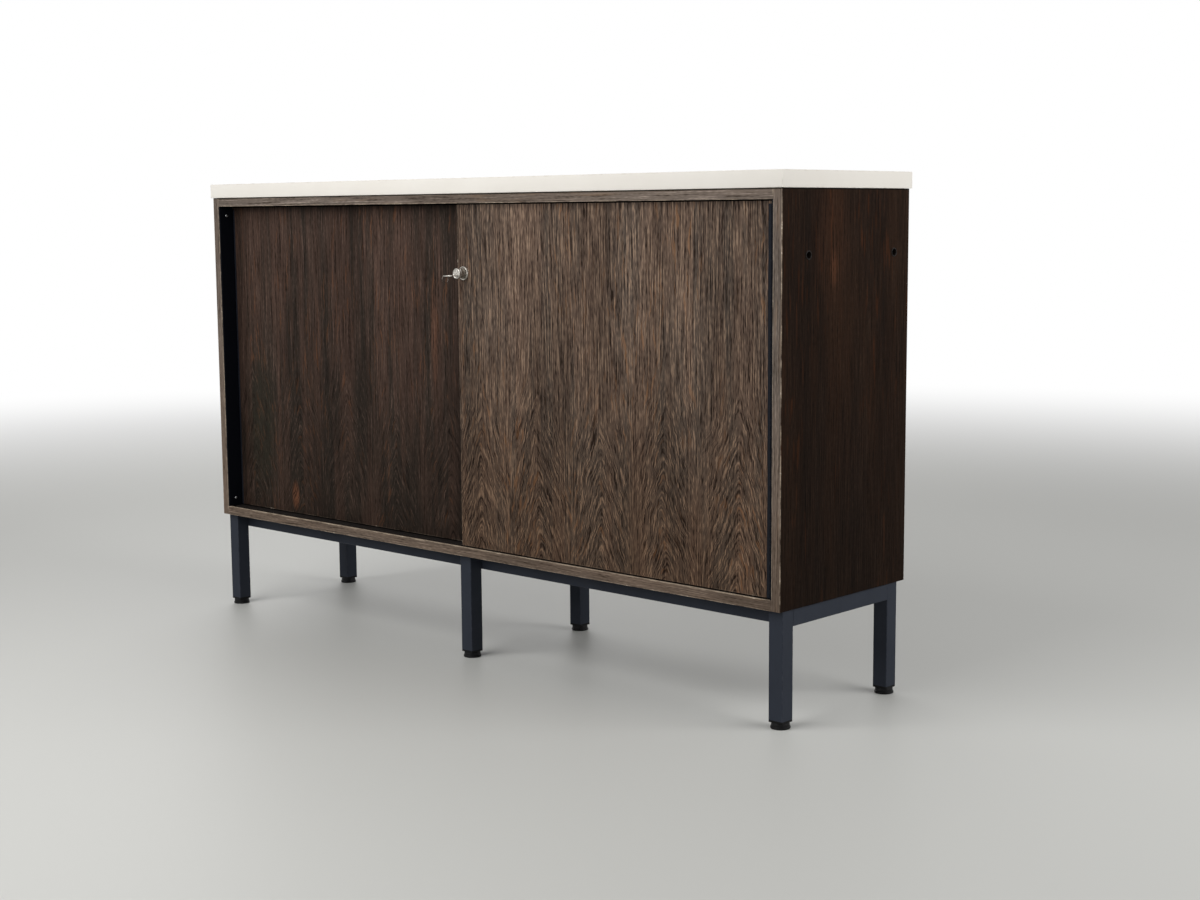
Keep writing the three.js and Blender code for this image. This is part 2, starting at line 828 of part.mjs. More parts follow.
function makeBase() {
  const columns = [
    ["left", -legSideX],
    ["middle", 0],
    ["right", legSideX],
  ];
  for (const [row, y] of [
    ["front", legFrontY],
    ["rear", legRearY],
  ]) {
    for (const [column, x] of columns) {
      const spot = row + "_" + column;
      place("leg_" + spot, squareTube(legLength), anthracite, x, y, legBottom);
      place("leg_cap_" + spot, legCap(), blackPlastic, x, y, capBottom);
      place("levelling_foot_" + spot, levellingFoot(), blackPlastic, x, y, 0);
    }
  }
  const half = tubeSize / 2;
  makeCrossRail("cross_rail_left", -legSideX, legFrontY + half, legRearY - half);
  makeCrossRail("cross_rail_middle", 0, longRailFrontY + half, longRailRearY - half);
  makeCrossRail("cross_rail_right", legSideX, legFrontY + half, legRearY - half);
  makeLongRail("long_rail_front", longRailFrontY);
  makeLongRail("long_rail_rear", longRailRearY);
}

makeCarcass();
makeInside();
makeTracks();
makeJambs();
makeDoors();
const lockReach = makeLock();
makeBase();

// The origin lies on the floor, at the middle of the whole object from its key ring to the top's rear edge
const frontReach = frontDoorFace - lockReach;
const rearReach = carcassRear + topOverhang;
cabinet.position.y = -(frontReach + rearReach) / 2;

const credenza = new THREE.Group();
credenza.add(cabinet);
export default credenza;
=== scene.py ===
"""Office credenza with two sliding doors, dressed for rendering over its CAD frame (metres, +Z up)."""
import json
import math

import bmesh
import bpy
from mathutils import Matrix, Vector


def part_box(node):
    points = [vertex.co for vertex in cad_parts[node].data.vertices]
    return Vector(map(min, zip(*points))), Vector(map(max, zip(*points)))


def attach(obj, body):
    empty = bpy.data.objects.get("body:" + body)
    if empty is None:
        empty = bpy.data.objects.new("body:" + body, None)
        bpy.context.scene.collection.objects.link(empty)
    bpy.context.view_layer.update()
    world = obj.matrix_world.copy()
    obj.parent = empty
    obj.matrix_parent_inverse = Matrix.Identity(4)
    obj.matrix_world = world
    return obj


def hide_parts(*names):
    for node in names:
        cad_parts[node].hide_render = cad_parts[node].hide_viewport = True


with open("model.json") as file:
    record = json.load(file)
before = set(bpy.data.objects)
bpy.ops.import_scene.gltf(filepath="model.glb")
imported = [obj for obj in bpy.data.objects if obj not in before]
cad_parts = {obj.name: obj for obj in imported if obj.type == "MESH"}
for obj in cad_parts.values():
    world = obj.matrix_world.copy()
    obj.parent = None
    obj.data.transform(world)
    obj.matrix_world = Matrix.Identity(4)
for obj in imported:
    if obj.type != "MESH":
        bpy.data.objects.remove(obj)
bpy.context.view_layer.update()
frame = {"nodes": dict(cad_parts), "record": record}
nodes = frame["nodes"]

X_AXIS, Y_AXIS, Z_AXIS = 0, 1, 2
FRONT = (0, -1, 0)
RIGHT = (1, 0, 0)
UP = (0, 0, 1)
MM = 0.001

# Fineness of the meshes
LOCK_STEPS = 72
TURNED_STEPS = 64
RING_STEPS = 48
WIRE_STEPS = 10
WELD = 0.002 * MM
SHARP_DEGREES = 32.0
WIRE_SHARP_DEGREES = 60.0

# Top board: gap over the carcass, eased edges, and the field that it rests on
TOP_GAP = 0.3 * MM
TOP_EASE = 0.7 * MM
TOP_EASE_STEPS = 3
TOP_FIELD_INSET = 12 * MM

# Lock. Steps are millimetres outwards and forwards from a corner of a turned outline.
LOCK_BODY = 9.8 * MM
LOCK_BARREL = 12.0 * MM
LOCK_CLEARANCE = 0.3 * MM
LOCK_DISH = 2.6 * MM
FLANGE_RIM = ((0.0, -1.4), (-0.3, -0.6), (-0.9, -0.1), (-1.3, 0.0), (-2.0, -0.2), (-2.4, -0.8))
BORE_LIP = ((0.6, 0.0), (0.0, -0.3))
BOLT = 4.0 * MM
BOLT_TIP = ((-0.8, 0.0), (0.0, 0.8))
BODY_REAR = 6.0 * MM
BODY_GROOVE = ((0.0, -2.2), (-0.5, -1.8), (-0.5, -0.9), (0.0, -0.5))
HEAD_LENGTH = 4.7 * MM
HEAD_BACK = ((-0.5, 0.0), (0.0, 0.6))
HEAD_RIM = ((0.0, -1.3), (-0.25, -0.6), (-0.8, -0.1), (-1.3, 0.0), (-2.0, -0.3), (-2.4, -0.6))
HEAD_DISH = 0.6 * MM
WELL_CLEARANCE = 0.15 * MM
WELL_FLOOR = 0.25 * MM
PLUG_RIM = ((0.0, -0.3), (-0.3, 0.0))
KEEPER_CLEARANCE = 0.8 * MM
KEEPER_RIM = ((0.0, -0.4), (-0.4, 0.0))
KEEPER_MOUTH = ((0.8, 0.0), (0.0, -0.8))

# Key and ring
KEY_EDGE = 0.35 * MM
KEY_EDGE_STEPS = 2
KEY_SLOT_HALF_WIDTH = 3.8 * MM
KEY_SLOT_CLEARANCE = 0.3 * MM
KEY_SLOT_OVERRUN = 1.0 * MM
BOW_HALF_LENGTH = 9.5 * MM
SHANK_HALF_WIDTH = 3.5 * MM
BLADE_TIP = 1.5 * MM
EYE_WALL_ACROSS = 2.5 * MM
EYE_WALL_ALONG = 2.2 * MM
RING_WIRE = 0.42 * MM
RING_INSET = 1.5 * RING_WIRE
RING_TURNS = 2

# Levelling feet
FOOT_NECK = 17.6 * MM
FOOT_STEM = 4.0 * MM
FOOT_SEAT_GAP = 0.3 * MM
FOOT_RIM = ((-1.6, 0.0), (-0.5, 0.5), (0.0, 1.6), (0.0, 3.0), (-0.5, 4.1), (-1.6, 4.6))
FOOT_NECK_ROOT = ((0.5, 4.8), (0.0, 5.3))
FOOT_SHOULDER = ((-0.4, -1.4), (-0.8, -0.5), (-1.6, 0.0))
FOOT_STEM_TIP = ((0.0, -0.8), (-0.8, 0.0))

# Screws: the dome, the arms of the cross and its depth are shares of the radius and the height
SCREW_RADIUS = 3.6 * MM
SCREW_HEIGHT = 1.8 * MM
SCREW_SLOT = 0.9 * MM
SCREW_DOME = ((0.0, 0.0), (1.0, 0.0), (1.0, 0.35), (0.86, 0.75), (0.55, 0.95), (0.0, 1.0))
SCREW_ARM = 0.62
SCREW_DEPTH = 0.6
SCREW_FROM_FRONT = 20 * MM
SCREW_FROM_TOP = 22 * MM
SCREW_FROM_BOTTOM = 19 * MM

# Bushes in the side holes
BUSH_FLANGE = 8.7 * MM
BUSH_BARREL = 7.3 * MM
BUSH_BORE = 6.3 * MM
BUSH_END_GAP = 1.0 * MM
BUSH_RIM = ((0.0, 0.36), (-0.5, 0.96), (-1.3, 1.2))
BUSH_LIP = ((0.9, 1.2), (0.3, 0.84), (0.0, 0.0))

# Camera, solved from the photograph for a frame of 1200 by 900 pixels
FRAME_PIXELS = 1200
FOCAL_PIXELS = 1815.5
CAMERA_PLACE = Vector((2.8104, -2.7456, 0.9424))
CAMERA_YAW = math.radians(43.038)
CAMERA_PITCH = math.radians(7.412)
CAMERA_ROLL = math.radians(-0.418)
SENSOR_WIDTH = 36.0

# Stage and light: lamp places in metres and powers in watts
FLOOR_RADIUS = 14.0
FLOOR_SEGMENTS = 96
FLOOR_FADE = (2.2, 6.5)
FLOOR_COLOUR = (198, 198, 194)
FLOOR_ROUGHNESS = 0.5
FLOOR_SHEEN = 0.2
WHITE = (1.0, 1.0, 1.0, 1.0)
WORLD_LIGHT = 0.22
LAMP_SIZE = 2.8
LAMP_AIM = Vector((0.0, 0.0, 0.5))
LAMPS = (
    ("front_lamp", Vector((-0.4, -2.8, 2.5)), 96.0),
    ("side_lamp", Vector((3.7, 0.9, 2.3)), 86.0),
    ("back_lamp", Vector((-3.0, 2.1, 2.5)), 36.0),
)


def srgb(red, green, blue):
    """A colour given in 0 to 255 screen values, as linear RGBA."""
    def linear(value):
        value /= 255
        return value / 12.92 if value <= 0.04045 else ((value + 0.055) / 1.055) ** 2.4
    return (linear(red), linear(green), linear(blue), 1.0)


# Procedural materials

# How far the largest part of a normal falls from a flat face to an eased corner
FLAT_NORMAL = 0.999
EASED_NORMAL = 0.93
# Where most of a noise lies
NOISE_RANGE = (0.3, 0.7)


class Graph:
    """One procedural material, built node by node. Numbers and sockets can stand for each other."""

    def __init__(self, name):
        self.material = bpy.data.materials.new(name)
        self.material.use_nodes = True
        self.tree = self.material.node_tree
        self.shader = self.tree.nodes["Principled BSDF"]
        self.coordinates = self.tree.nodes.new("ShaderNodeTexCoord")

    def feed(self, socket, value):
        if isinstance(value, bpy.types.NodeSocket):
            self.tree.links.new(value, socket)
        else:
            socket.default_value = value

    def math(self, operation, first, second=0.0, third=0.0):
        node = self.tree.nodes.new("ShaderNodeMath")
        node.operation = operation
        for socket, value in zip(node.inputs, (first, second, third)):
            self.feed(socket, value)
        return node.outputs[0]

    def split(self, vector):
        node = self.tree.nodes.new("ShaderNodeSeparateXYZ")
        self.feed(node.inputs[0], vector)
        return list(node.outputs)

    def join(self, first, second, third=0.0):
        node = self.tree.nodes.new("ShaderNodeCombineXYZ")
        for socket, value in zip(node.inputs, (first, second, third)):
            self.feed(socket, value)
        return node.outputs[0]

    def stretch(self, vector, rates):
        """A vector with each of its parts multiplied by a rate."""
        parts = zip(self.split(vector), rates)
        return self.join(*[self.math("MULTIPLY", part, rate) for part, rate in parts])

    def noise(self, vector, scale=1.0, detail=3.0, roughness=0.5):
        node = self.tree.nodes.new("ShaderNodeTexNoise")
        self.feed(node.inputs["Vector"], vector)
        self.feed(node.inputs["Scale"], scale)
        self.feed(node.inputs["Detail"], detail)
        self.feed(node.inputs["Roughness"], roughness)
        return node.outputs[0]

    def grade(self, value, low, high, to_low=0.0, to_high=1.0):
        """A smooth step of value from low to high."""
        node = self.tree.nodes.new("ShaderNodeMapRange")
        node.interpolation_type = "SMOOTHSTEP"
        for socket, number in zip(node.inputs, (value, low, high, to_low, to_high)):
            self.feed(socket, number)
        return node.outputs[0]

    def mix(self, factor, first, second, blend="MIX"):
        node = self.tree.nodes.new("ShaderNodeMix")
        node.data_type = "RGBA"
        node.blend_type = blend
        self.feed(node.inputs[0], factor)
        self.feed(node.inputs[6], first)
        self.feed(node.inputs[7], second)
        return node.outputs[2]

    def ramp(self, value, stops):
        node = self.tree.nodes.new("ShaderNodeValToRGB")
        for element, (place, colour) in zip(node.color_ramp.elements, stops):
            element.position = place
            element.color = colour
        self.feed(node.inputs[0], value)
        return node.outputs[0]

    def bump(self, height, distance):
        node = self.tree.nodes.new("ShaderNodeBump")
        self.feed(node.inputs["Height"], height)
        self.feed(node.inputs["Distance"], distance)
        self.tree.links.new(node.outputs[0], self.shader.inputs["Normal"])

    def dress(self, colour, roughness, sheen=None):
        """Feeds the shader its colour, roughness and specular level."""
        self.feed(self.shader.inputs["Base Color"], colour)
        self.feed(self.shader.inputs["Roughness"], roughness)
        if sheen is not None:
            self.shader.inputs["Specular IOR Level"].default_value = sheen

    def arris(self, low, high):
        """Distance from a box-shaped piece's nearest edge: the middle one of the distances to its faces."""
        place = self.split(self.coordinates.outputs["Object"])
        gaps = []
        for axis in range(3):
            below = self.math("ABSOLUTE", self.math("SUBTRACT", place[axis], low[axis]))
            above = self.math("ABSOLUTE", self.math("SUBTRACT", high[axis], place[axis]))
            gaps.append(self.math("MINIMUM", below, above))
        small = self.math("MINIMUM", gaps[0], gaps[1])
        large = self.math("MAXIMUM", gaps[0], gaps[1])
        return self.math("MAXIMUM", small, self.math("MINIMUM", large, gaps[2]))

    def rounded(self):
        """1 on eased corners, where the normal lies between the axes, and 0 on flat faces."""
        parts = [self.math("ABSOLUTE", part) for part in self.split(self.coordinates.outputs["Normal"])]
        most = self.math("MAXIMUM", self.math("MAXIMUM", parts[0], parts[1]), parts[2])
        return self.grade(most, FLAT_NORMAL, EASED_NORMAL)


# Wenge veneer: colours

class Tones:
    """Colours of one veneer, from its dark fibres to its light ones, with a cooler middle and warm streaks.

    foot is the share of each colour left at the foot of an upright board: painted shade, darker towards the
    foot.
    calm divides the contrast of the fibres.
    """

    def __init__(self, dark, middle, light, cool, warm, warm_share, foot=None, calm=1.0):
        self.dark = srgb(*dark)
        self.middle = srgb(*middle)
        self.light = srgb(*light)
        self.cool = srgb(*cool)
        self.warm = srgb(*warm)
        self.warm_share = warm_share
        self.foot = foot
        self.calm = calm


RIGHT_DOOR = Tones((38, 29, 24), (91, 75, 65), (140, 118, 100), (79, 69, 62), (138, 101, 72), 0.45,
                   foot=(0.77, 0.7, 0.63, 1.0), calm=0.72)
LEFT_DOOR = Tones((25, 18, 15), (67, 52, 45), (98, 79, 70), (48, 41, 36), (112, 74, 50), 0.35,
                  foot=(0.66, 0.66, 0.64, 1.0), calm=1.05)
SIDES = Tones((14, 8, 4), (36, 22, 13), (52, 36, 25), (30, 19, 12), (74, 40, 20), 0.4,
              foot=(0.6, 0.68, 0.78, 1.0), calm=1.1)
INSIDE = Tones((26, 20, 16), (58, 46, 38), (96, 80, 67), (54, 47, 40), (92, 62, 42), 0.4, calm=1.15)
EDGE_BAND = Tones((62, 53, 46), (110, 98, 89), (152, 138, 127), (100, 91, 84), (134, 112, 93), 0.35,
                  foot=(0.86, 0.8, 0.74, 1.0))
WORN = srgb(184, 167, 147)
CHIPPED = srgb(206, 192, 174)
# Painted shade on the doors and under the top board, and the dirt at the right door's outer end
DIRT_AND_SHADE_TONE = srgb(9, 7, 6)
RESIN = srgb(128, 82, 58)
MINERAL = srgb(34, 36, 28)
# Ranges of the patterns over which one colour gives way to the next
COOL_RANGE = (-0.14, 0.2)
DARK_RANGE = (-0.02, -0.48)
LIGHT_RANGE = (0.03, 0.62)
WARM_RANGE = (0.08, 0.2)
WARM_GROUP_RANGE = (-0.06, 0.12)
WARM_GROUP_LEAST = 0.1
# Surface: specular level, roughness of the dark and the light fibres, and depth of the fibres
SHEEN = 0.025
FIBRE_RANGE = (-0.3, 0.3)
FIBRE_ROUGHNESS = (0.6, 0.46)
FIBRE_DEPTH = 0.12 * MM
# Share of an upright board's height over which painted shade darkens it towards the foot
FOOT_SHADE_SHARE = 0.75


# Wenge veneer: figure

class Pattern:
    """Noise drawn out along the grain: rates per metre over and along it, detail, a layer and a weight."""

    def __init__(self, across, along, detail, layer, weight=1.0):
        self.across = across
        self.along = along
        self.detail = detail
        self.layer = layer
        self.weight = weight


PATTERN_ROUGHNESS = 0.6
LINES = Pattern(540.0, 13.0, 0.0, 4.1)
SPECKS = Pattern(460.0, 90.0, 0.0, 9.4, weight=0.55)
FLAMES = Pattern(350.0, 15.0, 0.0, 2.7)
BROAD = Pattern(10.0, 1.6, 1.0, 7.1, weight=1.1)
BANDS = Pattern(46.0, 1.2, 1.0, 3.3, weight=0.7)
CLOUDS = Pattern(18.0, 1.6, 2.0, 8.8)
STREAKS = Pattern(150.0, 11.0, 1.0, 6.2)
STREAK_GROUPS = Pattern(14.0, 3.0, 1.0, 5.2)
# Waves in the run of the grain, whose weights are metres
DRIFT = Pattern(5.0, 2.5, 2.0, 0.012, weight=0.012)
SWAY = Pattern(6.0, 5.0, 2.0, 0.05, weight=0.05)
RIPPLE = Pattern(70.0, 60.0, 2.0, 0.009, weight=0.009)
# Weights on plain boards, beside the arches and on them
PLAIN_LINES = 1.2
LINES_BESIDE_ARCH = 1.15
LINES_LOST_ON_ARCH = 0.7
FLAMES_BESIDE_ARCH = 0.3
FLAMES_GAINED_ON_ARCH = 0.8
COOL_ON_ARCH = 0.07


class Leaves:
    """Crown-cut leaves side by side: their width, the middle of one of them, and the door's foot."""

    def __init__(self, width, middle, foot):
        self.width = width
        self.middle = middle
        self.foot = foot


RIGHT_LEAF_WIDTH = 0.171
RIGHT_LEAF_MIDDLE = 0.063
LEFT_LEAF_WIDTH = 0.1735
LEFT_LEAF_MIDDLE = -0.24
# A leaf's arches: tip radius, lean, how they steepen outwards, and where they start above the foot
CROWN_TIP = 0.004
CROWN_LEAN = 0.48
CROWN_FLARE = 2.5
CROWN_TOP = 0.35
CROWN_SPREAD = 0.18
CROWN_BLEND = 0.06
# Where an arch fades in, downwards in blends and inwards in leaf widths
CROWN_RISE = (-0.5, 1.5)
CROWN_SIDES = (0.5, 0.3)
# Shifts in the noise: from leaf to leaf for the arches' starts and the figure, and per metre over a leaf
LEAF_START_STEP = 3.7
LEAF_STEP = 17.3
HALF_STEP = 55.0


class Patch:
    """A soft oval of another colour in a veneer: its middle, its half sizes and its share."""

    def __init__(self, across, along, half_width, half_length, colour, share):
        self.middle = (across, along)
        self.half_size = (half_width, half_length)
        self.colour = colour
        self.share = share


LEFT_DOOR_PATCHES = [
    Patch(-609 * MM, 288 * MM, 17 * MM, 42 * MM, RESIN, 0.5),
    Patch(-110 * MM, 700 * MM, 16 * MM, 150 * MM, RESIN, 0.2),
    Patch(-730 * MM, 450 * MM, 65 * MM, 210 * MM, MINERAL, 0.55),
]
RIGHT_SIDE_PATCHES = [
    Patch(-16 * MM, 841 * MM, 16 * MM, 40 * MM, RESIN, 0.17),
    Patch(-20 * MM, 900 * MM, 70 * MM, 150 * MM, RESIN, 0.06),
]
PATCH_FIBRES = (-0.35, 0.1)


def crown(graph, over, along, leaves, seed):
    """The run of a crown-cut leaf: upright in its upper half, and nested arches below.

    Gives the place across the rings, a number that tells the leaves and their halves apart, and how much of
    an arch there is.
    """
    turn = graph.math("DIVIDE", graph.math("SUBTRACT", over, leaves.middle - leaves.width / 2), leaves.width)
    number = graph.math("FLOOR", turn)
    off = graph.math("MULTIPLY", graph.math("SUBTRACT", graph.math("FRACT", turn), 0.5), leaves.width)
    square = graph.math("MULTIPLY", off, off)
    bow = graph.math("SQRT", graph.math("ADD", square, CROWN_TIP ** 2))
    bow = graph.math("ADD", bow, graph.math("MULTIPLY", square, CROWN_FLARE))
    lift = graph.noise(graph.join(graph.math("MULTIPLY", number, LEAF_START_STEP), seed), detail=0.0)
    start = graph.math("MULTIPLY", graph.math("SUBTRACT", lift, 0.5), CROWN_SPREAD)
    start = graph.math("ADD", start, leaves.foot + CROWN_TOP)
    below = graph.math("DIVIDE", graph.math("SUBTRACT", start, along), CROWN_BLEND)
    soft = graph.math("LOGARITHM", graph.math("ADD", graph.math("EXPONENT", below), 1.0), math.e)
    ring = graph.math("SUBTRACT", bow, graph.math("MULTIPLY", soft, CROWN_LEAN * CROWN_BLEND))
    halves = graph.math("MULTIPLY", off, HALF_STEP)
    side = graph.math("ADD", halves, graph.math("MULTIPLY", number, LEAF_STEP))
    inner = graph.grade(graph.math("ABSOLUTE", off), *[share * leaves.width for share in CROWN_SIDES])
    arch = graph.math("MULTIPLY", graph.grade(below, *CROWN_RISE), inner)
    return ring, side, arch


def grain(graph, across, along, tones, seed, leaves=None):
    """Colour and fibre level of one veneer face. across and along are metres over and up the leaf."""
    def draw(line, pattern, shift=0.0):
        vector = graph.join(
            graph.math("MULTIPLY", line, pattern.across),
            graph.math("MULTIPLY", along, pattern.along),
            graph.math("ADD", shift, seed + pattern.layer),
        )
        level = graph.noise(vector, detail=pattern.detail, roughness=PATTERN_ROUGHNESS)
        return graph.math("MULTIPLY", graph.math("SUBTRACT", level, 0.5), pattern.weight)

    straight = graph.math("ADD", across, draw(across, DRIFT))
    tint = graph.math("ADD", draw(straight, BANDS), draw(straight, CLOUDS))
    lines = draw(straight, LINES)
    if leaves:
        bent = graph.math("ADD", straight, graph.math("ADD", draw(across, SWAY), draw(across, RIPPLE)))
        ring, side, arch = crown(graph, bent, along, leaves, seed)
        share = graph.math("MULTIPLY_ADD", arch, FLAMES_GAINED_ON_ARCH, FLAMES_BESIDE_ARCH)
        flames = graph.math("MULTIPLY", draw(ring, FLAMES, side), share)
        share = graph.math("SUBTRACT", LINES_BESIDE_ARCH, graph.math("MULTIPLY", arch, LINES_LOST_ON_ARCH))
        level = graph.math("ADD", flames, graph.math("MULTIPLY", lines, share))
        tint = graph.math("ADD", tint, graph.math("MULTIPLY", arch, COOL_ON_ARCH))
        streaks = draw(ring, STREAKS, side)
    else:
        level = graph.math("MULTIPLY", lines, PLAIN_LINES)
        streaks = draw(straight, STREAKS)
    level = graph.math("ADD", level, draw(straight, SPECKS))
    level = graph.math("DIVIDE", level, tones.calm)

    colour = graph.mix(graph.grade(tint, *COOL_RANGE), tones.middle, tones.cool)
    colour = graph.mix(graph.grade(level, *DARK_RANGE), colour, tones.dark)
    colour = graph.mix(graph.grade(level, *LIGHT_RANGE), colour, tones.light)
    warm = graph.grade(streaks, *WARM_RANGE, 0.0, tones.warm_share)
    groups = graph.grade(draw(straight, STREAK_GROUPS), *WARM_GROUP_RANGE, WARM_GROUP_LEAST, 1.0)
    colour = graph.mix(graph.math("MULTIPLY", warm, groups), colour, tones.warm)
    shade = graph.math("ADD", 1.0, draw(straight, BROAD))
    colour = graph.mix(1.0, colour, graph.join(shade, shade, shade), "MULTIPLY")
    return colour, level


def mark(graph, colour, across, along, level, patch):
    """Lays one patch into a veneer's colour, broken up by the fibres."""
    squares = []
    for place, middle, half in zip((across, along), patch.middle, patch.half_size):
        off = graph.math("DIVIDE", graph.math("SUBTRACT", place, middle), half)
        squares.append(graph.math("MULTIPLY", off, off))
    share = graph.grade(graph.math("ADD", *squares), 1.0, 0.0, 0.0, patch.share)
    share = graph.math("MULTIPLY", share, graph.grade(level, *PATCH_FIBRES))
    return graph.mix(share, colour, patch.colour)


def shade_towards_foot(graph, colour, height, tones):
    """Painted shade: darkens a colour towards the foot of the carcass."""
    low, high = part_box("side_panel_right")
    depth = graph.grade(height, low.z + FOOT_SHADE_SHARE * (high.z - low.z), low.z)
    return graph.mix(depth, colour, tones.foot, "MULTIPLY")


# Wenge veneer: dirt, wear, painted shade and a painted highlight

# Painted shade at the left door's outer end beside the jamb, painted shadow on the strip of the left door
# beside the right one, down from the rail over the doors, and on the tongue that runs in the track; a little
# dirt at the right door's outer end
LEFT_END_SHADE = 0.55
RIGHT_HANDLED = 0.1
END_DARKENING_REACH = 55 * MM
SHADED = 0.5
SHADED_REACH = (85 * MM, 28 * MM)
RAIL_SHADE = 0.45
RAIL_SHADE_REACH = 15 * MM
DOOR_TONGUE = 9.5 * MM
TONGUE_SHADE_REACH = 0.5 * MM
# Painted shade: the dark line under the top board, over the thin gap above the carcass
JOINT_SHADE = 0.8
JOINT_REACH = (2.6 * MM, 1.8 * MM)
# Rubbed and chipped arrises, and the strip along the bottom board's front: rubbed, and lightened as a painted
# highlight
WEAR_RATE = 38.0
WEAR_REACH = (2.2 * MM, 0.5 * MM)
WEAR_FROM_FRONT = (3.0 * MM, 1.5 * MM)
RUBBED_RANGE = (0.34, 0.66)
BAND_WEAR = 0.7
FACE_WEAR = 0.2
CHIPPED_RANGE = (0.63, 0.69)
CHIPPED_SHARE = 0.9
LEDGE = (5.0 * MM, 4.0 * MM)
LEDGE_RANGE = (0.2, 0.6)
LEDGE_LEAST = 0.5
UPWARD_NORMAL = (0.4, 0.7)
# Front edge band: the normals that carry it, and its step in the noise
BAND_NORMAL = (-0.6, -0.8)
BAND_STEP = 20.0


def door_dirt_and_shade(graph, colour, place, high, ends):
    """Darkens a door with painted shade under the rail and on the tongue, and towards the ends that it is
    given.

    Each of the ends gives the places along X where the darkening starts and where it is full, and its share.
    """
    top = high.z - DOOR_TONGUE
    # Painted shade down from the rail and on the tongue
    darkening = graph.grade(place[Z_AXIS], top - RAIL_SHADE_REACH, top, 0.0, RAIL_SHADE)
    darkening = graph.math("MAXIMUM", darkening, graph.grade(place[Z_AXIS], top - TONGUE_SHADE_REACH, top))
    # Towards the ends: painted shade on the left door, a little dirt on the right one
    for start, end, share in ends:
        darkening = graph.math("MAXIMUM", darkening, graph.grade(place[X_AXIS], start, end, 0.0, share))
    return graph.mix(darkening, colour, DIRT_AND_SHADE_TONE)


def wear(graph, colour, place, low, high, banded, ledge):
    """Rubbed and chipped front arrises. Gives the colour and where the chips are."""
    def from_front(limits):
        return graph.grade(place[Y_AXIS], *[low.y + limit for limit in limits])

    spots = graph.noise(graph.coordinates.outputs["Object"], WEAR_RATE, detail=4.0, roughness=0.65)
    near = graph.grade(graph.arris(low, high), *WEAR_REACH)
    near = graph.math("MULTIPLY", near, from_front(WEAR_FROM_FRONT))
    share = BAND_WEAR if banded else FACE_WEAR
    worn_and_lit = graph.math("MULTIPLY", near, graph.grade(spots, *RUBBED_RANGE, 0.0, share))
    # The up-facing strip in front of the doors: rubbed, with a painted highlight where light from above falls
    if ledge:
        upward = graph.grade(graph.split(graph.coordinates.outputs["Normal"])[Z_AXIS], *UPWARD_NORMAL)
        strip = graph.math("MULTIPLY", upward, from_front(LEDGE))
        strip = graph.math("MULTIPLY", strip, graph.grade(spots, *LEDGE_RANGE, LEDGE_LEAST, 1.0))
        worn_and_lit = graph.math("MAXIMUM", worn_and_lit, strip)
    colour = graph.mix(worn_and_lit, colour, WORN)
    chips = graph.math("MULTIPLY", near, graph.grade(spots, *CHIPPED_RANGE, 0.0, CHIPPED_SHARE))
    return graph.mix(chips, colour, CHIPPED), chips


class Board:
    """One veneered board. across and along are its grain's axes, and edge is that of its front edge band.

    leaves and ends are for the doors' crown-cut figure and for their dirt and painted shade, and ledge is for
    a rubbed strip in front that also carries a painted highlight.
    """

    def __init__(self, node, tones, across, along, seed, edge=None, leaves=None, ends=(), ledge=False,
                 patches=()):
        self.node = node
        self.tones = tones
        self.across = across
        self.along = along
        self.seed = seed
        self.edge = edge
        self.leaves = leaves
        self.ends = ends
        self.ledge = ledge
        self.patches = patches


def veneer(board):
    """Veneer for one board: its faces in one set of tones, and its front edge in an edge band."""
    low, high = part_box(board.node)
    banded = board.edge is not None
    graph = Graph("veneer_" + board.node)
    place = graph.split(graph.coordinates.outputs["Object"])
    across, along = place[board.across], place[board.along]
    colour, level = grain(graph, across, along, board.tones, board.seed, board.leaves)
    # Painted shade, darker towards the foot of the carcass
    if board.tones.foot:
        colour = shade_towards_foot(graph, colour, place[Z_AXIS], board.tones)
    for patch in board.patches:
        colour = mark(graph, colour, across, along, level, patch)
    if board.ends:
        colour = door_dirt_and_shade(graph, colour, place, high, board.ends)
    if banded:
        band_across = place[Z_AXIS if board.edge == X_AXIS else X_AXIS]
        band, _ = grain(graph, band_across, place[board.edge], EDGE_BAND, board.seed + BAND_STEP)
        # Painted shade on the edge band as well, darker towards the foot
        band = shade_towards_foot(graph, band, place[Z_AXIS], EDGE_BAND)
        facing = graph.split(graph.coordinates.outputs["Normal"])[Y_AXIS]
        colour = graph.mix(graph.grade(facing, *BAND_NORMAL), colour, band)
    colour, chips = wear(graph, colour, place, low, high, banded, board.ledge)
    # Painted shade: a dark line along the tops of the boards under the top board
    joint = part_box("top_board")[0].z
    if high.z > joint - MM:
        darkening = graph.grade(place[Z_AXIS], *[joint - reach for reach in JOINT_REACH], 0.0, JOINT_SHADE)
        colour = graph.mix(darkening, colour, DIRT_AND_SHADE_TONE)
    graph.dress(colour, graph.grade(level, *FIBRE_RANGE, *FIBRE_ROUGHNESS), SHEEN)
    graph.bump(graph.math("SUBTRACT", level, chips), FIBRE_DEPTH)
    return graph.material


# Cream laminate

LAMINATE_DARK = srgb(231, 226, 218)
LAMINATE_LIGHT = srgb(236, 232, 225)
LAMINATE_SOIL = srgb(196, 186, 170)
LAMINATE_MOTTLE_RATE = 5.0
LAMINATE_SOIL_RATE = 60.0
LAMINATE_SOIL_RANGE = (0.45, 0.75)
LAMINATE_SOIL_REACH = (3.5 * MM, 0.5 * MM)
LAMINATE_SOIL_SHARE = 0.35
LAMINATE_SCUFF_RATES = (14.0, 90.0, 30.0)
LAMINATE_SCUFF_RANGE = (0.45, 0.8)
LAMINATE_ROUGHNESS = (0.46, 0.54)
LAMINATE_SHEEN = 0.06
LAMINATE_PEEL_RATE = 420.0
LAMINATE_PEEL_DEPTH = 0.02 * MM


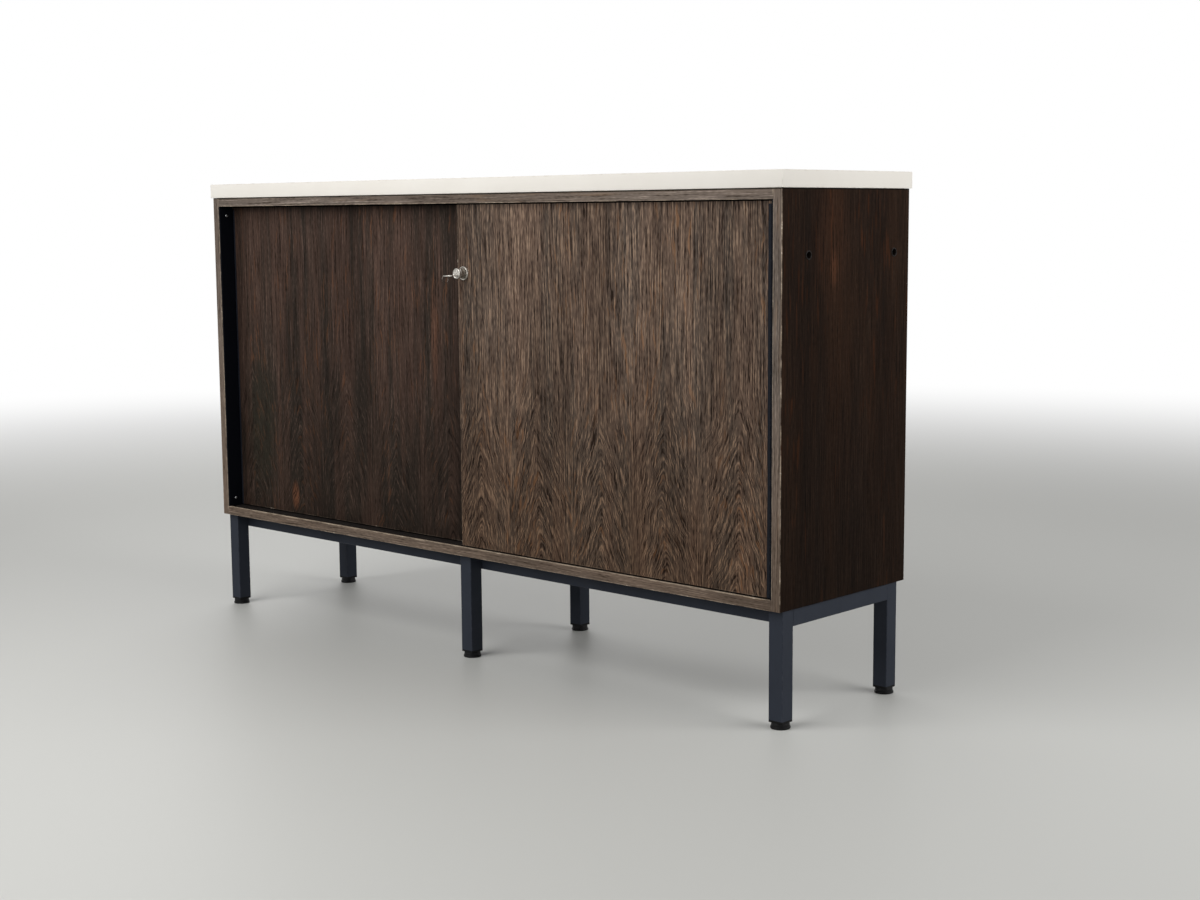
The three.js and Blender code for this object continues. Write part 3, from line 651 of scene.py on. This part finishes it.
def laminate():
    """Cream laminate: faint mottle, a fine orange-peel and slight soiling along the edges."""
    low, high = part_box("top_board")
    graph = Graph("cream_laminate")
    place = graph.coordinates.outputs["Object"]
    mottle = graph.noise(place, LAMINATE_MOTTLE_RATE, detail=5.0, roughness=0.6)
    colour = graph.ramp(mottle, list(zip(NOISE_RANGE, (LAMINATE_DARK, LAMINATE_LIGHT))))
    near = graph.grade(graph.arris(low, high), *LAMINATE_SOIL_REACH)
    spots = graph.grade(graph.noise(place, LAMINATE_SOIL_RATE, detail=4.0), *LAMINATE_SOIL_RANGE)
    share = graph.math("MULTIPLY", graph.math("MULTIPLY", near, spots), LAMINATE_SOIL_SHARE)
    colour = graph.mix(share, colour, LAMINATE_SOIL)
    scuffs = graph.noise(graph.stretch(place, LAMINATE_SCUFF_RATES), detail=6.0, roughness=0.7)
    graph.dress(colour, graph.grade(scuffs, *LAMINATE_SCUFF_RANGE, *LAMINATE_ROUGHNESS), LAMINATE_SHEEN)
    graph.bump(graph.noise(place, LAMINATE_PEEL_RATE, detail=2.0), LAMINATE_PEEL_DEPTH)
    return graph.material


# Powder coat

PAINT_CLOUD_RATE = 9.0
PAINT_CLOUD_SHADE = 0.84
PAINT_CLOUD_SHARE = 0.5
PAINT_RUB_RATE = 130.0
PAINT_RUB_RANGE = (0.42, 0.68)
PAINT_RUB_SHARE = 0.22
PAINT_GLOSSIER = 0.05
PAINT_DULLER = 0.08
PAINT_SHEEN = 0.06
PAINT_PEEL_RATE = 520.0
PAINT_PEEL_DEPTH = 0.04 * MM


def paint(name, base, worn, roughness):
    """Powder coat: orange-peel relief, cloudy sheen, and paler rubbed corners."""
    graph = Graph(name)
    place = graph.coordinates.outputs["Object"]
    clouds = graph.noise(place, PAINT_CLOUD_RATE, detail=4.0, roughness=0.6)
    shaded = srgb(*[PAINT_CLOUD_SHADE * part for part in base])
    colour = graph.mix(graph.grade(clouds, *NOISE_RANGE, 0.0, PAINT_CLOUD_SHARE), srgb(*base), shaded)
    rub = graph.grade(graph.noise(place, PAINT_RUB_RATE), *PAINT_RUB_RANGE)
    rub = graph.math("MULTIPLY", graph.math("MULTIPLY", graph.rounded(), rub), PAINT_RUB_SHARE)
    colour = graph.mix(rub, colour, srgb(*worn))
    rough = graph.grade(clouds, *NOISE_RANGE, roughness - PAINT_GLOSSIER, roughness + PAINT_DULLER)
    graph.dress(colour, rough, PAINT_SHEEN)
    graph.bump(graph.noise(place, PAINT_PEEL_RATE, detail=1.0), PAINT_PEEL_DEPTH)
    return graph.material


# Moulded plastic

PLASTIC_DUST_RATE = 45.0
PLASTIC_DUST_RANGE = (0.5, 0.8)
PLASTIC_DUST_LEVEL = 150
PLASTIC_DUST_SHARE = 0.1
PLASTIC_DULLER = 0.15
PLASTIC_SHEEN = 0.14
PLASTIC_PIT_RATE = 900.0
PLASTIC_PIT_DEPTH = 0.03 * MM


def plastic(name, base, roughness):
    """Moulded plastic with a fine spark-eroded grain and a little dust."""
    graph = Graph(name)
    place = graph.coordinates.outputs["Object"]
    dust = graph.noise(place, PLASTIC_DUST_RATE, detail=5.0, roughness=0.7)
    dusty = srgb(*[part + PLASTIC_DUST_SHARE * (PLASTIC_DUST_LEVEL - part) for part in base])
    colour = graph.mix(graph.grade(dust, *PLASTIC_DUST_RANGE), srgb(*base), dusty)
    graph.dress(colour, graph.grade(dust, *NOISE_RANGE, roughness, roughness + PLASTIC_DULLER), PLASTIC_SHEEN)
    graph.bump(graph.noise(place, PLASTIC_PIT_RATE, detail=2.0), PLASTIC_PIT_DEPTH)
    return graph.material


# Plated and plain metal

METAL_TARNISH_RATE = 210.0
METAL_TARNISH_RANGE = (0.38, 0.66)
METAL_TARNISH_SHADE = 0.68
METAL_LINE_RATE = 300.0
METAL_LINE_DEPTH = 0.01 * MM
METAL_DULLER = 0.12


def metal(name, base, roughness, drawn_rate):
    """Metal with faint tarnish and fine turned or drawn lines, which run along Y."""
    graph = Graph(name)
    place = graph.coordinates.outputs["Object"]
    tarnish = graph.noise(place, METAL_TARNISH_RATE, detail=4.0, roughness=0.65)
    dull = srgb(*[METAL_TARNISH_SHADE * part for part in base])
    colour = graph.mix(graph.grade(tarnish, *METAL_TARNISH_RANGE), srgb(*base), dull)
    lines = graph.noise(graph.stretch(place, (METAL_LINE_RATE, drawn_rate, METAL_LINE_RATE)))
    graph.dress(colour, graph.grade(lines, *NOISE_RANGE, roughness, roughness + METAL_DULLER))
    graph.shader.inputs["Metallic"].default_value = 1.0
    graph.bump(lines, METAL_LINE_DEPTH)
    return graph.material


# Mesh helpers

def link(name, data):
    """A new object in the scene."""
    thing = bpy.data.objects.new(name, data)
    bpy.context.scene.collection.objects.link(thing)
    return thing


def mesh_data(name, mesh):
    """Blender mesh data from a bmesh, which is used up."""
    data = bpy.data.meshes.new(name)
    mesh.to_mesh(data)
    mesh.free()
    return data


def finish_mesh(name, mesh, material, body, stands_for=(), sharp_degrees=SHARP_DEGREES):
    """Turns a bmesh into a shaded piece that rides on a body."""
    mesh.normal_update()
    data = mesh_data(name, mesh)
    for face in data.polygons:
        face.use_smooth = True
    data.set_sharp_from_angle(angle=math.radians(sharp_degrees))
    data.materials.append(material)
    piece = link(name, data)
    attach(piece, body)
    if stands_for:
        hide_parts(*stands_for)


def stepped(radius, along, steps):
    """Points of a turned outline, each a step in millimetres from one corner."""
    return [(radius + out * MM, along + forward * MM) for out, forward in steps]


def turned(profile, axis_place, direction, steps):
    """A bmesh turned about direction through axis_place. The profile runs [radius, distance along]."""
    mesh = bmesh.new()
    points = [mesh.verts.new((radius, 0.0, along)) for radius, along in profile]
    edges = [mesh.edges.new(pair) for pair in zip(points, points[1:])]
    bmesh.ops.spin(
        mesh,
        geom=points + edges,
        cent=(0, 0, 0),
        axis=UP,
        angle=2 * math.pi,
        steps=steps,
    )
    bmesh.ops.remove_doubles(mesh, verts=mesh.verts, dist=WELD)
    bmesh.ops.dissolve_degenerate(mesh, edges=mesh.edges, dist=WELD)
    bmesh.ops.recalc_face_normals(mesh, faces=mesh.faces)
    turn = Vector(UP).rotation_difference(Vector(direction)).to_matrix().to_4x4()
    mesh.transform(Matrix.Translation(axis_place) @ turn)
    return mesh


def evaluated(thing):
    """A bmesh of an object with its modifiers or bevels."""
    seen = thing.evaluated_get(bpy.context.evaluated_depsgraph_get())
    mesh = bmesh.new()
    mesh.from_mesh(seen.to_mesh())
    return mesh


def carve(mesh, cutters):
    """The mesh less the cutters, all given as bmeshes."""
    things = [link("loose", mesh_data("loose", shape)) for shape in [mesh] + cutters]
    for tool in things[1:]:
        modifier = things[0].modifiers.new("cut", "BOOLEAN")
        modifier.operation = "DIFFERENCE"
        modifier.solver = "EXACT"
        modifier.object = tool
    result = evaluated(things[0])
    for thing in things:
        bpy.data.objects.remove(thing, do_unlink=True)
    return result


def block(low, high):
    """A bmesh box between two corners."""
    mesh = bmesh.new()
    bmesh.ops.create_cube(mesh, size=1.0)
    size = Vector(high) - Vector(low)
    middle = (Vector(high) + Vector(low)) / 2
    mesh.transform(Matrix.Translation(middle) @ Matrix.Diagonal(size).to_4x4())
    return mesh


def half_width(node):
    low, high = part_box(node)
    return (high.x - low.x) / 2


def axis_through(node, depth):
    """The point on a node's front-to-back axis that lies at a depth."""
    low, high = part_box(node)
    middle = (low + high) / 2
    return Vector((middle.x, depth, middle.z))


def reaches(node, face):
    """How far forward of a face a node's front and its rear lie."""
    low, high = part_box(node)
    return face - low.y, face - high.y


# Top board

def make_top(finish):
    """The board with its lower edge close over the carcass: an eased slab on the CAD board's field."""
    low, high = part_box("top_board")
    slab = block((low.x, low.y, low.z + TOP_GAP), high)
    bmesh.ops.bevel(
        slab,
        geom=slab.edges[:],
        offset=TOP_EASE,
        segments=TOP_EASE_STEPS,
        profile=0.5,
        affect="EDGES",
    )
    inset = Vector((TOP_FIELD_INSET, TOP_FIELD_INSET, 0.0))
    field = block(low + inset, Vector((high.x, high.y, low.z + TOP_GAP)) - inset)
    slab.from_mesh(mesh_data("field", field))
    finish_mesh("top_board_eased", slab, finish, "carcass", ["top_board"])


# Lock: smooth turned pieces, at the places and sizes of the CAD ones

def make_housing(nickel, face):
    """Barrel and dished flange in the right door."""
    proud, rear = reaches("lock_housing", face)
    flange = half_width("lock_housing")
    bore = LOCK_BODY + LOCK_CLEARANCE
    profile = [(bore, rear), (LOCK_BARREL, rear), (LOCK_BARREL, 0.0), (flange, 0.0)]
    profile += stepped(flange, proud, FLANGE_RIM)
    profile += stepped(bore, proud - LOCK_DISH, BORE_LIP)
    profile += [(bore, rear)]
    shape = turned(profile, axis_through("lock_plunger", face), FRONT, LOCK_STEPS)
    finish_mesh("lock_housing_turned", shape, nickel, "right_door", ["lock_housing"])


def make_plunger(nickel, face):
    """Bolt, grooved body and rimmed head, with a well for the key plug."""
    reach, rear = reaches("lock_plunger", face)
    head = half_width("lock_plunger")
    neck = reach - HEAD_LENGTH
    profile = [(0.0, rear)]
    profile += stepped(BOLT, rear, BOLT_TIP)
    profile += [(BOLT, -BODY_REAR), (LOCK_BODY, -BODY_REAR)]
    profile += stepped(LOCK_BODY, neck, BODY_GROOVE)
    profile += stepped(head, neck, HEAD_BACK)
    profile += stepped(head, reach, HEAD_RIM)
    profile += [(0.0, reach - HEAD_DISH)]
    well_radius = half_width("lock_plug") + WELL_CLEARANCE
    well_rear = reaches("lock_plug", face)[1] - WELL_FLOOR
    well = [(0.0, well_rear), (well_radius, well_rear), (well_radius, reach), (0.0, reach)]
    shape = carve(
        turned(profile, axis_through("lock_plunger", face), FRONT, LOCK_STEPS),
        [turned(well, axis_through("lock_plug", face), FRONT, LOCK_STEPS)],
    )
    finish_mesh("lock_plunger_turned", shape, nickel, "plunger", ["lock_plunger"])


def make_plug(nickel, face):
    """Key plug with a slot for the key."""
    front, rear = reaches("lock_plug", face)
    radius = half_width("lock_plug")
    axis = axis_through("lock_plug", face)
    profile = [(0.0, rear), (radius, rear)] + stepped(radius, front, PLUG_RIM) + [(0.0, front)]
    key_low, key_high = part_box("lock_key")
    rise = (key_high.z - key_low.z) / 2 + KEY_SLOT_CLEARANCE
    slot = block(
        (axis.x - KEY_SLOT_HALF_WIDTH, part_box("lock_plug")[0].y - KEY_SLOT_OVERRUN, axis.z - rise),
        (axis.x + KEY_SLOT_HALF_WIDTH, key_high.y + KEY_SLOT_CLEARANCE, axis.z + rise),
    )
    shape = carve(turned(profile, axis, FRONT, LOCK_STEPS), [slot])
    finish_mesh("lock_plug_turned", shape, nickel, "key", ["lock_plug"])


def make_key(nickel, face):
    """Flat key: an oval bow with an open eye, a shank and a blade, with eased edges."""
    low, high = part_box("lock_key")
    axis = axis_through("lock_plug", face)
    bow_half_width = half_width("lock_key")
    bow_centre = low.y + BOW_HALF_LENGTH

    def oval(angle, wall_across=0.0, wall_along=0.0):
        return (
            (bow_half_width - wall_across) * math.sin(angle),
            bow_centre + (BOW_HALF_LENGTH - wall_along) * math.cos(angle),
        )

    start = math.asin(SHANK_HALF_WIDTH / bow_half_width)
    sweep = 2 * math.pi - 2 * start
    outside = [oval(start + sweep * step / RING_STEPS) for step in range(RING_STEPS + 1)]
    outside += [
        (-SHANK_HALF_WIDTH, high.y - BLADE_TIP),
        (-SHANK_HALF_WIDTH + BLADE_TIP, high.y),
        (SHANK_HALF_WIDTH - BLADE_TIP, high.y),
        (SHANK_HALF_WIDTH, high.y - BLADE_TIP),
    ]
    eye = []
    for step in range(RING_STEPS):
        eye.append(oval(-2 * math.pi * step / RING_STEPS, EYE_WALL_ACROSS, EYE_WALL_ALONG))

    outline = bpy.data.curves.new("key_outline", "CURVE")
    outline.dimensions = "2D"
    outline.fill_mode = "BOTH"
    outline.extrude = (high.z - low.z) / 2 - KEY_EDGE
    outline.bevel_depth = KEY_EDGE
    outline.bevel_resolution = KEY_EDGE_STEPS
    outline.offset = -KEY_EDGE
    for loop in (outside, eye):
        spline = outline.splines.new("POLY")
        spline.points.add(len(loop) - 1)
        for point, (over, along) in zip(spline.points, loop):
            point.co = (over, along, 0.0, 1.0)
        spline.use_cyclic_u = True
    holder = link("key_outline", outline)
    mesh = evaluated(holder)
    bpy.data.objects.remove(holder, do_unlink=True)
    bmesh.ops.remove_doubles(mesh, verts=mesh.verts, dist=WELD)
    mesh.transform(Matrix.Translation((axis.x, 0.0, axis.z)))
    finish_mesh("lock_key_cut", mesh, nickel, "key", ["lock_key"])


def make_ring(wire):
    """Split ring: a wire wound twice round, through the key's eye."""
    low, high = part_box("key_ring")
    centre = (low + high) / 2
    radius = (high.z - low.z) / 2 - RING_INSET
    sideways = Vector(RIGHT)
    mesh = bmesh.new()
    rows = []
    total = RING_TURNS * RING_STEPS
    for step in range(total + 1):
        angle = 2 * math.pi * step / RING_STEPS - math.pi / 2
        outward = Vector((0.0, math.cos(angle), math.sin(angle)))
        shift = (step / total - 0.5) * 2 * RING_WIRE
        middle = centre + outward * radius + sideways * shift
        row = []
        for side in range(WIRE_STEPS):
            turn = 2 * math.pi * side / WIRE_STEPS
            away = outward * math.cos(turn) + sideways * math.sin(turn)
            row.append(mesh.verts.new(middle + RING_WIRE * away))
        rows.append(row)
    for row, following in zip(rows, rows[1:]):
        for side in range(WIRE_STEPS):
            after = (side + 1) % WIRE_STEPS
            mesh.faces.new((row[side], row[after], following[after], following[side]))
    mesh.faces.new(rows[0])
    mesh.faces.new(rows[-1])
    bmesh.ops.recalc_face_normals(mesh, faces=mesh.faces)
    finish_mesh("key_ring_wound", mesh, wire, "ring", ["key_ring"], WIRE_SHARP_DEGREES)


def make_keeper(nickel):
    """Bush in the left door that takes the lock's bolt."""
    low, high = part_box("lock_keeper")
    outer = half_width("lock_keeper")
    depth = high.y - low.y
    inner = BOLT + KEEPER_CLEARANCE
    profile = [(inner, -depth), (outer, -depth)]
    profile += stepped(outer, 0.0, KEEPER_RIM)
    profile += stepped(inner, 0.0, KEEPER_MOUTH)
    profile += [(inner, -depth)]
    shape = turned(profile, axis_through("lock_keeper", low.y), FRONT, LOCK_STEPS)
    finish_mesh("lock_keeper_turned", shape, nickel, "left_door", ["lock_keeper"])


def make_lock(nickel, wire):
    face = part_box("door_right")[0].y
    make_housing(nickel, face)
    make_plunger(nickel, face)
    make_plug(nickel, face)
    make_key(nickel, face)
    make_ring(wire)
    make_keeper(nickel)


# Levelling feet

def make_foot(black, spot):
    """One turned foot with softened rims, on the CAD foot's place."""
    node = "levelling_foot_" + spot
    low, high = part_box(node)
    middle = (low + high) / 2
    middle.z = low.z
    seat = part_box("leg_cap_" + spot)[0].z - FOOT_SEAT_GAP
    profile = [(0.0, 0.0)]
    profile += stepped(half_width(node), 0.0, FOOT_RIM)
    profile += stepped(FOOT_NECK, 0.0, FOOT_NECK_ROOT)
    profile += stepped(FOOT_NECK, seat, FOOT_SHOULDER)
    profile += [(FOOT_STEM, seat)]
    profile += stepped(FOOT_STEM, high.z, FOOT_STEM_TIP)
    profile += [(0.0, high.z)]
    shape = turned(profile, middle, UP, TURNED_STEPS)
    finish_mesh(node + "_turned", shape, black, "foot_" + spot, [node])


def make_feet(black):
    for row in ("front", "rear"):
        for column in ("left", "middle", "right"):
            make_foot(black, row + "_" + column)


# Screws in the jamb strips

def make_screw(name, place, outward, steel):
    """One domed screw with a cross cut into its head."""
    profile = [(out * SCREW_RADIUS, rise * SCREW_HEIGHT) for out, rise in SCREW_DOME]
    tip = place + outward * SCREW_HEIGHT
    arm = SCREW_ARM * SCREW_RADIUS
    half_slot = SCREW_SLOT / 2
    cutters = []
    for reach_y, reach_z in ((arm, half_slot), (half_slot, arm)):
        corner = Vector((SCREW_DEPTH * SCREW_HEIGHT, reach_y, reach_z))
        cutters.append(block(tip - corner, tip + corner))
    shape = carve(turned(profile, place, outward, TURNED_STEPS), cutters)
    finish_mesh(name, shape, steel, "carcass")


def make_screws(steel):
    """Two screws in each jamb strip."""
    for word, side in (("left", 1.0), ("right", -1.0)):
        low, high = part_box("jamb_strip_" + word)
        face = high.x if side > 0 else low.x
        for level, height in (("upper", high.z - SCREW_FROM_TOP), ("lower", low.z + SCREW_FROM_BOTTOM)):
            place = Vector((face, low.y + SCREW_FROM_FRONT, height))
            make_screw("jamb_screw_%s_%s" % (word, level), place, side * Vector(RIGHT), steel)


# Bushes in the right side panel's holes

def make_bushes(brown):
    """A flanged bush in each hole, at the places that the record gives for the openings."""
    low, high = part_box("side_panel_right")
    depth = high.x - low.x - BUSH_END_GAP
    for opening in frame["record"]["physics"]["openings"]:
        if not opening["name"].startswith("side_panel_"):
            continue
        corners = [Vector(corner) for corner in opening["box_m"]]
        place = (corners[0] + corners[1]) / 2
        place.x = high.x
        profile = [(BUSH_BORE, -depth), (BUSH_BARREL, -depth), (BUSH_BARREL, 0.0), (BUSH_FLANGE, 0.0)]
        profile += stepped(BUSH_FLANGE, 0.0, BUSH_RIM)
        profile += stepped(BUSH_BORE, 0.0, BUSH_LIP)
        profile += [(BUSH_BORE, -depth)]
        shape = turned(profile, place, RIGHT, TURNED_STEPS)
        finish_mesh(opening["name"] + "_bush", shape, brown, "carcass")


# Dressing the CAD nodes

def dress(node, material):
    """Gives a CAD node one material in all of its slots."""
    data = nodes[node].data
    data.materials.clear()
    data.materials.append(material)
    for face in data.polygons:
        face.material_index = 0


def boards():
    """Every veneered board, the doors first."""
    right_low, right_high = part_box("door_right")
    left_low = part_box("door_left")[0]
    right_leaves = Leaves(RIGHT_LEAF_WIDTH, RIGHT_LEAF_MIDDLE, right_low.z)
    left_leaves = Leaves(LEFT_LEAF_WIDTH, LEFT_LEAF_MIDDLE, left_low.z)
    # A little dirt at the right door's outer end
    right_ends = [(right_high.x - END_DARKENING_REACH, right_high.x, RIGHT_HANDLED)]
    # Painted shade at the left door's outer end, and painted shadow on its strip beside the front door
    left_ends = [
        (left_low.x + END_DARKENING_REACH, left_low.x, LEFT_END_SHADE),
        (right_low.x - SHADED_REACH[0], right_low.x - SHADED_REACH[1], SHADED),
    ]
    return [
        Board("door_right", RIGHT_DOOR, X_AXIS, Z_AXIS, seed=3.17, leaves=right_leaves, ends=right_ends),
        Board("door_left", LEFT_DOOR, X_AXIS, Z_AXIS, seed=8.41, leaves=left_leaves, ends=left_ends,
              patches=LEFT_DOOR_PATCHES),
        Board("side_panel_left", SIDES, Y_AXIS, Z_AXIS, seed=1.93, edge=Z_AXIS),
        Board("side_panel_right", SIDES, Y_AXIS, Z_AXIS, seed=5.62, edge=Z_AXIS,
              patches=RIGHT_SIDE_PATCHES),
        Board("carcass_top_panel", INSIDE, Y_AXIS, X_AXIS, seed=2.38, edge=X_AXIS),
        Board("carcass_bottom_panel", INSIDE, Y_AXIS, X_AXIS, seed=7.75, edge=X_AXIS, ledge=True),
        Board("back_panel", INSIDE, X_AXIS, Z_AXIS, seed=6.04),
        Board("centre_partition", INSIDE, Y_AXIS, Z_AXIS, seed=4.83, edge=Z_AXIS),
        Board("shelf_left", INSIDE, Y_AXIS, X_AXIS, seed=9.26, edge=X_AXIS),
        Board("shelf_right", INSIDE, Y_AXIS, X_AXIS, seed=0.57, edge=X_AXIS),
    ]


def dress_frame():
    """Everything that isn't veneered takes its finish from its record slot."""
    finishes = {
        "laminate": laminate(),
        "base_paint": paint("anthracite_paint", base=(49, 53, 62), worn=(88, 92, 100), roughness=0.4),
        "edge_pull": paint("pull_paint", base=(25, 27, 33), worn=(70, 74, 82), roughness=0.36),
        "jamb_strip": paint("jamb_paint", base=(13, 15, 21), worn=(44, 46, 52), roughness=0.45),
        "black_plastic": plastic("black_plastic", base=(6, 6, 7), roughness=0.42),
        "track_plastic": plastic("track_plastic", base=(24, 20, 18), roughness=0.55),
        "nickel": metal("polished_nickel", base=(206, 201, 193), roughness=0.3, drawn_rate=60.0),
        "steel_wire": metal("plain_steel", base=(166, 166, 166), roughness=0.32, drawn_rate=90.0),
    }
    for entry in frame["record"]["subparts"]:
        if entry["material_slot"] in finishes:
            dress(entry["node"], finishes[entry["material_slot"]])
    return finishes


# Stage, light and camera

def seen_rays(tree):
    """1 for the rays that show a background: those of the camera, of gloss and of glass."""
    path = tree.nodes.new("ShaderNodeLightPath")
    seen = path.outputs["Is Camera Ray"]
    for other in ("Is Glossy Ray", "Is Transmission Ray"):
        either = tree.nodes.new("ShaderNodeMath")
        either.operation = "MAXIMUM"
        tree.links.new(seen, either.inputs[0])
        tree.links.new(path.outputs[other], either.inputs[1])
        seen = either.outputs[0]
    return seen


def mix_surface(tree, output, factor, first, second):
    """Sends a mix of two shaders to an output node's surface."""
    mixer = tree.nodes.new("ShaderNodeMixShader")
    for socket, source in zip(mixer.inputs, (factor, first, second)):
        tree.links.new(source, socket)
    tree.links.new(mixer.outputs[0], tree.nodes[output].inputs["Surface"])


def make_floor():
    """A round pale floor that fades to white away from the object."""
    mesh = bmesh.new()
    bmesh.ops.create_circle(mesh, cap_ends=True, segments=FLOOR_SEGMENTS, radius=FLOOR_RADIUS)
    floor = link("floor", mesh_data("floor", mesh))
    graph = Graph("pale_floor")
    place = graph.split(graph.coordinates.outputs["Object"])
    squares = [graph.math("POWER", place[axis], 2.0) for axis in (X_AXIS, Y_AXIS)]
    away = graph.grade(graph.math("SQRT", graph.math("ADD", *squares)), *FLOOR_FADE)
    graph.dress(srgb(*FLOOR_COLOUR), FLOOR_ROUGHNESS, FLOOR_SHEEN)
    white = graph.tree.nodes.new("ShaderNodeEmission")
    share = graph.math("MULTIPLY", away, seen_rays(graph.tree))
    mix_surface(graph.tree, "Material Output", share, graph.shader.outputs[0], white.outputs[0])
    floor.data.materials.append(graph.material)


def make_lamp(name, place, power):
    """A large soft lamp that points at the object."""
    lamp = bpy.data.lights.new(name, "AREA")
    lamp.shape = "SQUARE"
    lamp.size = LAMP_SIZE
    lamp.energy = power
    holder = link(name, lamp)
    holder.location = place
    holder.rotation_euler = (LAMP_AIM - place).to_track_quat("-Z", "Y").to_euler()


def make_light():
    """A white surround, large soft lamps from the front and the right, and a weaker one from behind."""
    world = bpy.data.worlds.new("studio")
    bpy.context.scene.world = world
    world.use_nodes = True
    tree = world.node_tree
    light = tree.nodes["Background"]
    white = tree.nodes.new("ShaderNodeBackground")
    for node, strength in ((light, WORLD_LIGHT), (white, 1.0)):
        node.inputs["Color"].default_value = WHITE
        node.inputs["Strength"].default_value = strength
    mix_surface(tree, "World Output", seen_rays(tree), light.outputs[0], white.outputs[0])
    for name, place, power in LAMPS:
        make_lamp(name, place, power)


def make_camera():
    """The photograph's camera, from its solved place, heading, tilt and roll."""
    data = bpy.data.cameras.new("camera")
    data.sensor_fit = "HORIZONTAL"
    data.sensor_width = SENSOR_WIDTH
    data.lens = FOCAL_PIXELS / FRAME_PIXELS * SENSOR_WIDTH
    ahead = Vector((
        -math.sin(CAMERA_YAW) * math.cos(CAMERA_PITCH),
        math.cos(CAMERA_YAW) * math.cos(CAMERA_PITCH),
        -math.sin(CAMERA_PITCH),
    ))
    level = Vector((math.cos(CAMERA_YAW), math.sin(CAMERA_YAW), 0.0))
    upright = level.cross(ahead)
    right = level * math.cos(CAMERA_ROLL) + upright * math.sin(CAMERA_ROLL)
    up = upright * math.cos(CAMERA_ROLL) - level * math.sin(CAMERA_ROLL)
    camera = link("camera", data)
    turn = Matrix((right, up, -ahead)).transposed().to_4x4()
    camera.matrix_world = Matrix.Translation(CAMERA_PLACE) @ turn
    bpy.context.scene.camera = camera


for board in boards():
    dress(board.node, veneer(board))
finishes = dress_frame()
make_top(finishes["laminate"])
make_lock(finishes["nickel"], metal("ring_wire", base=(112, 105, 98), roughness=0.3, drawn_rate=90.0))
make_feet(finishes["black_plastic"])
make_screws(finishes["steel_wire"])
make_bushes(plastic("bush_plastic", base=(16, 11, 8), roughness=0.5))
make_floor()
make_light()
make_camera()
bpy.context.scene.view_settings.view_transform = "Standard"
